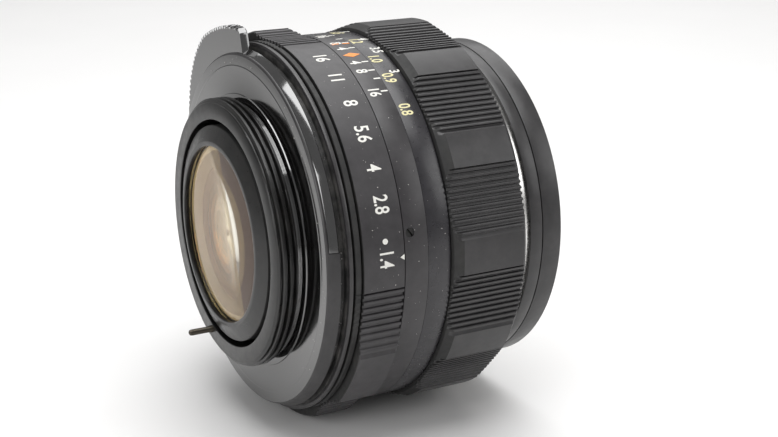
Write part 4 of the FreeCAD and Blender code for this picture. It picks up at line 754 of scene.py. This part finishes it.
def dust():
    """Specks of dust that lie on the dark parts."""
    rng = random.Random(7)
    ring = RING_R
    homes = [
        ("dust_fixed", "fixed_barrel", 70,
         lambda: (rng.uniform(24.9, 27.0), rng.uniform(-140, 30), 0.0)),
        ("dust_recess", "fixed_barrel", 90,
         lambda: (27.25, rng.uniform(-140, 30), rng.uniform(-2.8, -2.1))),
        ("dust_aperture", "aperture_control", 70,
         lambda: (ring, rng.uniform(-94, -8), rng.uniform(-11.3, -5.3))),
        ("dust_scale", "fixed_barrel", 40,
         lambda: (ring, rng.uniform(-130, 20), rng.uniform(-15.4, -11.9))),
        ("dust_distance", "focus_control", 35,
         lambda: (ring, rng.uniform(-130, 20), rng.uniform(-19.1, -15.8))),
    ]
    corners = ((1, 0, 0), (-1, 0, 0), (0, 1, 0), (0, -1, 0), (0, 0, 1), (0, 0, -1))
    sides = ((0, 2, 4), (2, 1, 4), (1, 3, 4), (3, 0, 4), (2, 0, 5), (1, 2, 5), (3, 1, 5), (0, 3, 5))
    for name, body, count, place in homes:
        verts, faces = [], []
        for _ in range(count):
            r, angle, y = place()
            size = 0.035 + 0.075 * rng.random() ** 3
            centre = Vector(at(r, angle, y)) / MM
            base = len(verts)
            for corner in corners:
                wobble = size * rng.uniform(0.6, 1.2)
                verts.append(tuple((centre + Vector(corner) * wobble) * MM))
            faces += [tuple(base + i for i in side) for side in sides]
        piece(name, verts, faces, LINT, body, slot="inner_black")


def repaint_cad():
    """Finishes of the CAD nodes that stay in view."""
    looks = {
        GLOSS: ["dof_set_screws"],
        STEEL: ["mount_screws", "guide_key_screws", "focus_stop_pin", "click_ball",
                "click_spring_screw", "bell_crank_pivot", "return_spring", "stop_down_circlips",
                "preset_cam", "preset_cam_screws", "push_pin_clip", "bell_crank", "diaphragm_screws"],
        BRASS: ["helicoid_retainer", "guide_keys", "click_spring"],
        BRIGHT: ["focus_helicoid", "cam_ring"],
        # The spacers get the pale lining as painted light.
        PAINTED_LIGHT_LINING: ["sixth_lens_spacer", "rear_lens_spacer"],
        # The diaphragm housing and cover get the bright gold as partly painted light.
        PAINTED_GLINT_GOLD: ["diaphragm_housing", "diaphragm_cover"],
        MATT: ["stop_down_ring", "lens_barrel", "front_cell", "front_lens_ring", "second_lens_ring",
               "third_lens_spacer"],
        BLADE: ["blade_%d" % i for i in range(1, 7)],
        GLASS_INNER: ["lens_%d" % i for i in range(2, 7)],
    }
    for material, names in looks.items():
        for name in names:
            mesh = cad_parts[name].data
            mesh.materials.clear()
            mesh.materials.append(material)


# ------------------------------------------------------------------ stage, light, camera
def stage():
    """Pale floor that the lens lies on."""
    size = 1.2
    drop = -HILL_R * MM
    mesh = bpy.data.meshes.new("floor")
    corners = [(-size, -size, drop), (size, -size, drop), (size, size, drop), (-size, size, drop)]
    mesh.from_pydata(corners, [], [(0, 1, 2, 3)])
    m = Nodes("floor", (0.86, 0.855, 0.85), 0.55)
    m.drive("Base Color", m.mix(m.noise(0.02, 3.0), (0.85, 0.845, 0.84), (0.88, 0.875, 0.87)))
    mesh.materials.append(m.material)
    floor = bpy.data.objects.new("floor", mesh)
    bpy.context.scene.collection.objects.link(floor)


def area_light(name, place, target, size, power):
    """Square soft light. place and target in metres, power in watts."""
    data = bpy.data.lights.new(name, "AREA")
    data.shape = "SQUARE"
    data.size = size
    data.energy = power
    light = bpy.data.objects.new(name, data)
    light.location = place
    light.rotation_euler = (Vector(target) - Vector(place)).to_track_quat("-Z", "Y").to_euler()
    bpy.context.scene.collection.objects.link(light)


def lights():
    """Even white surroundings and four soft lights."""
    world = bpy.data.worlds.new("studio")
    world.use_nodes = True
    background = world.node_tree.nodes["Background"]
    background.inputs["Color"].default_value = (1.0, 1.0, 1.0, 1.0)
    background.inputs["Strength"].default_value = 0.3
    bpy.context.scene.world = world
    area_light("overhead", (-0.04, -0.02, 0.45), (0, -0.02, 0), 0.42, 2.1)
    area_light("sweep", (0.5, -0.34, 0.5), (0.5, -0.34, 0), 0.7, 2.6)
    area_light("left", (-0.2, 0.45, 0.2), (0, 0, 0), 0.3, 0.9)
    area_light("right", (-0.35, -0.4, 0.25), (0, -0.02, 0), 0.3, 0.6)


def camera():
    """Camera with its place in metres and its own axes."""
    data = bpy.data.cameras.new("camera")
    data.sensor_width = 36.0
    data.lens = 67.59
    data.clip_start = 0.01
    cam = bpy.data.objects.new("camera", data)
    place = Vector((-0.20100, 0.08594, 0.06856))
    right = Vector((-0.48399, -0.87508, 0.0))
    up = Vector((0.25664, -0.14194, 0.95603))
    back = -Vector((0.83660, -0.46271, -0.29328))
    turn = Matrix((right, up, back)).transposed().to_4x4()
    cam.matrix_world = Matrix.Translation(place) @ turn
    bpy.context.scene.collection.objects.link(cam)
    bpy.context.scene.camera = cam


mount()
barrel()
switch()
aperture_ring()
focus_rings()
focus_grip()
front()
rear()
elements()
pin()
markings()
dust()
repaint_cad()
stage()
lights()
camera()
bpy.context.scene.view_settings.view_transform = "Standard"
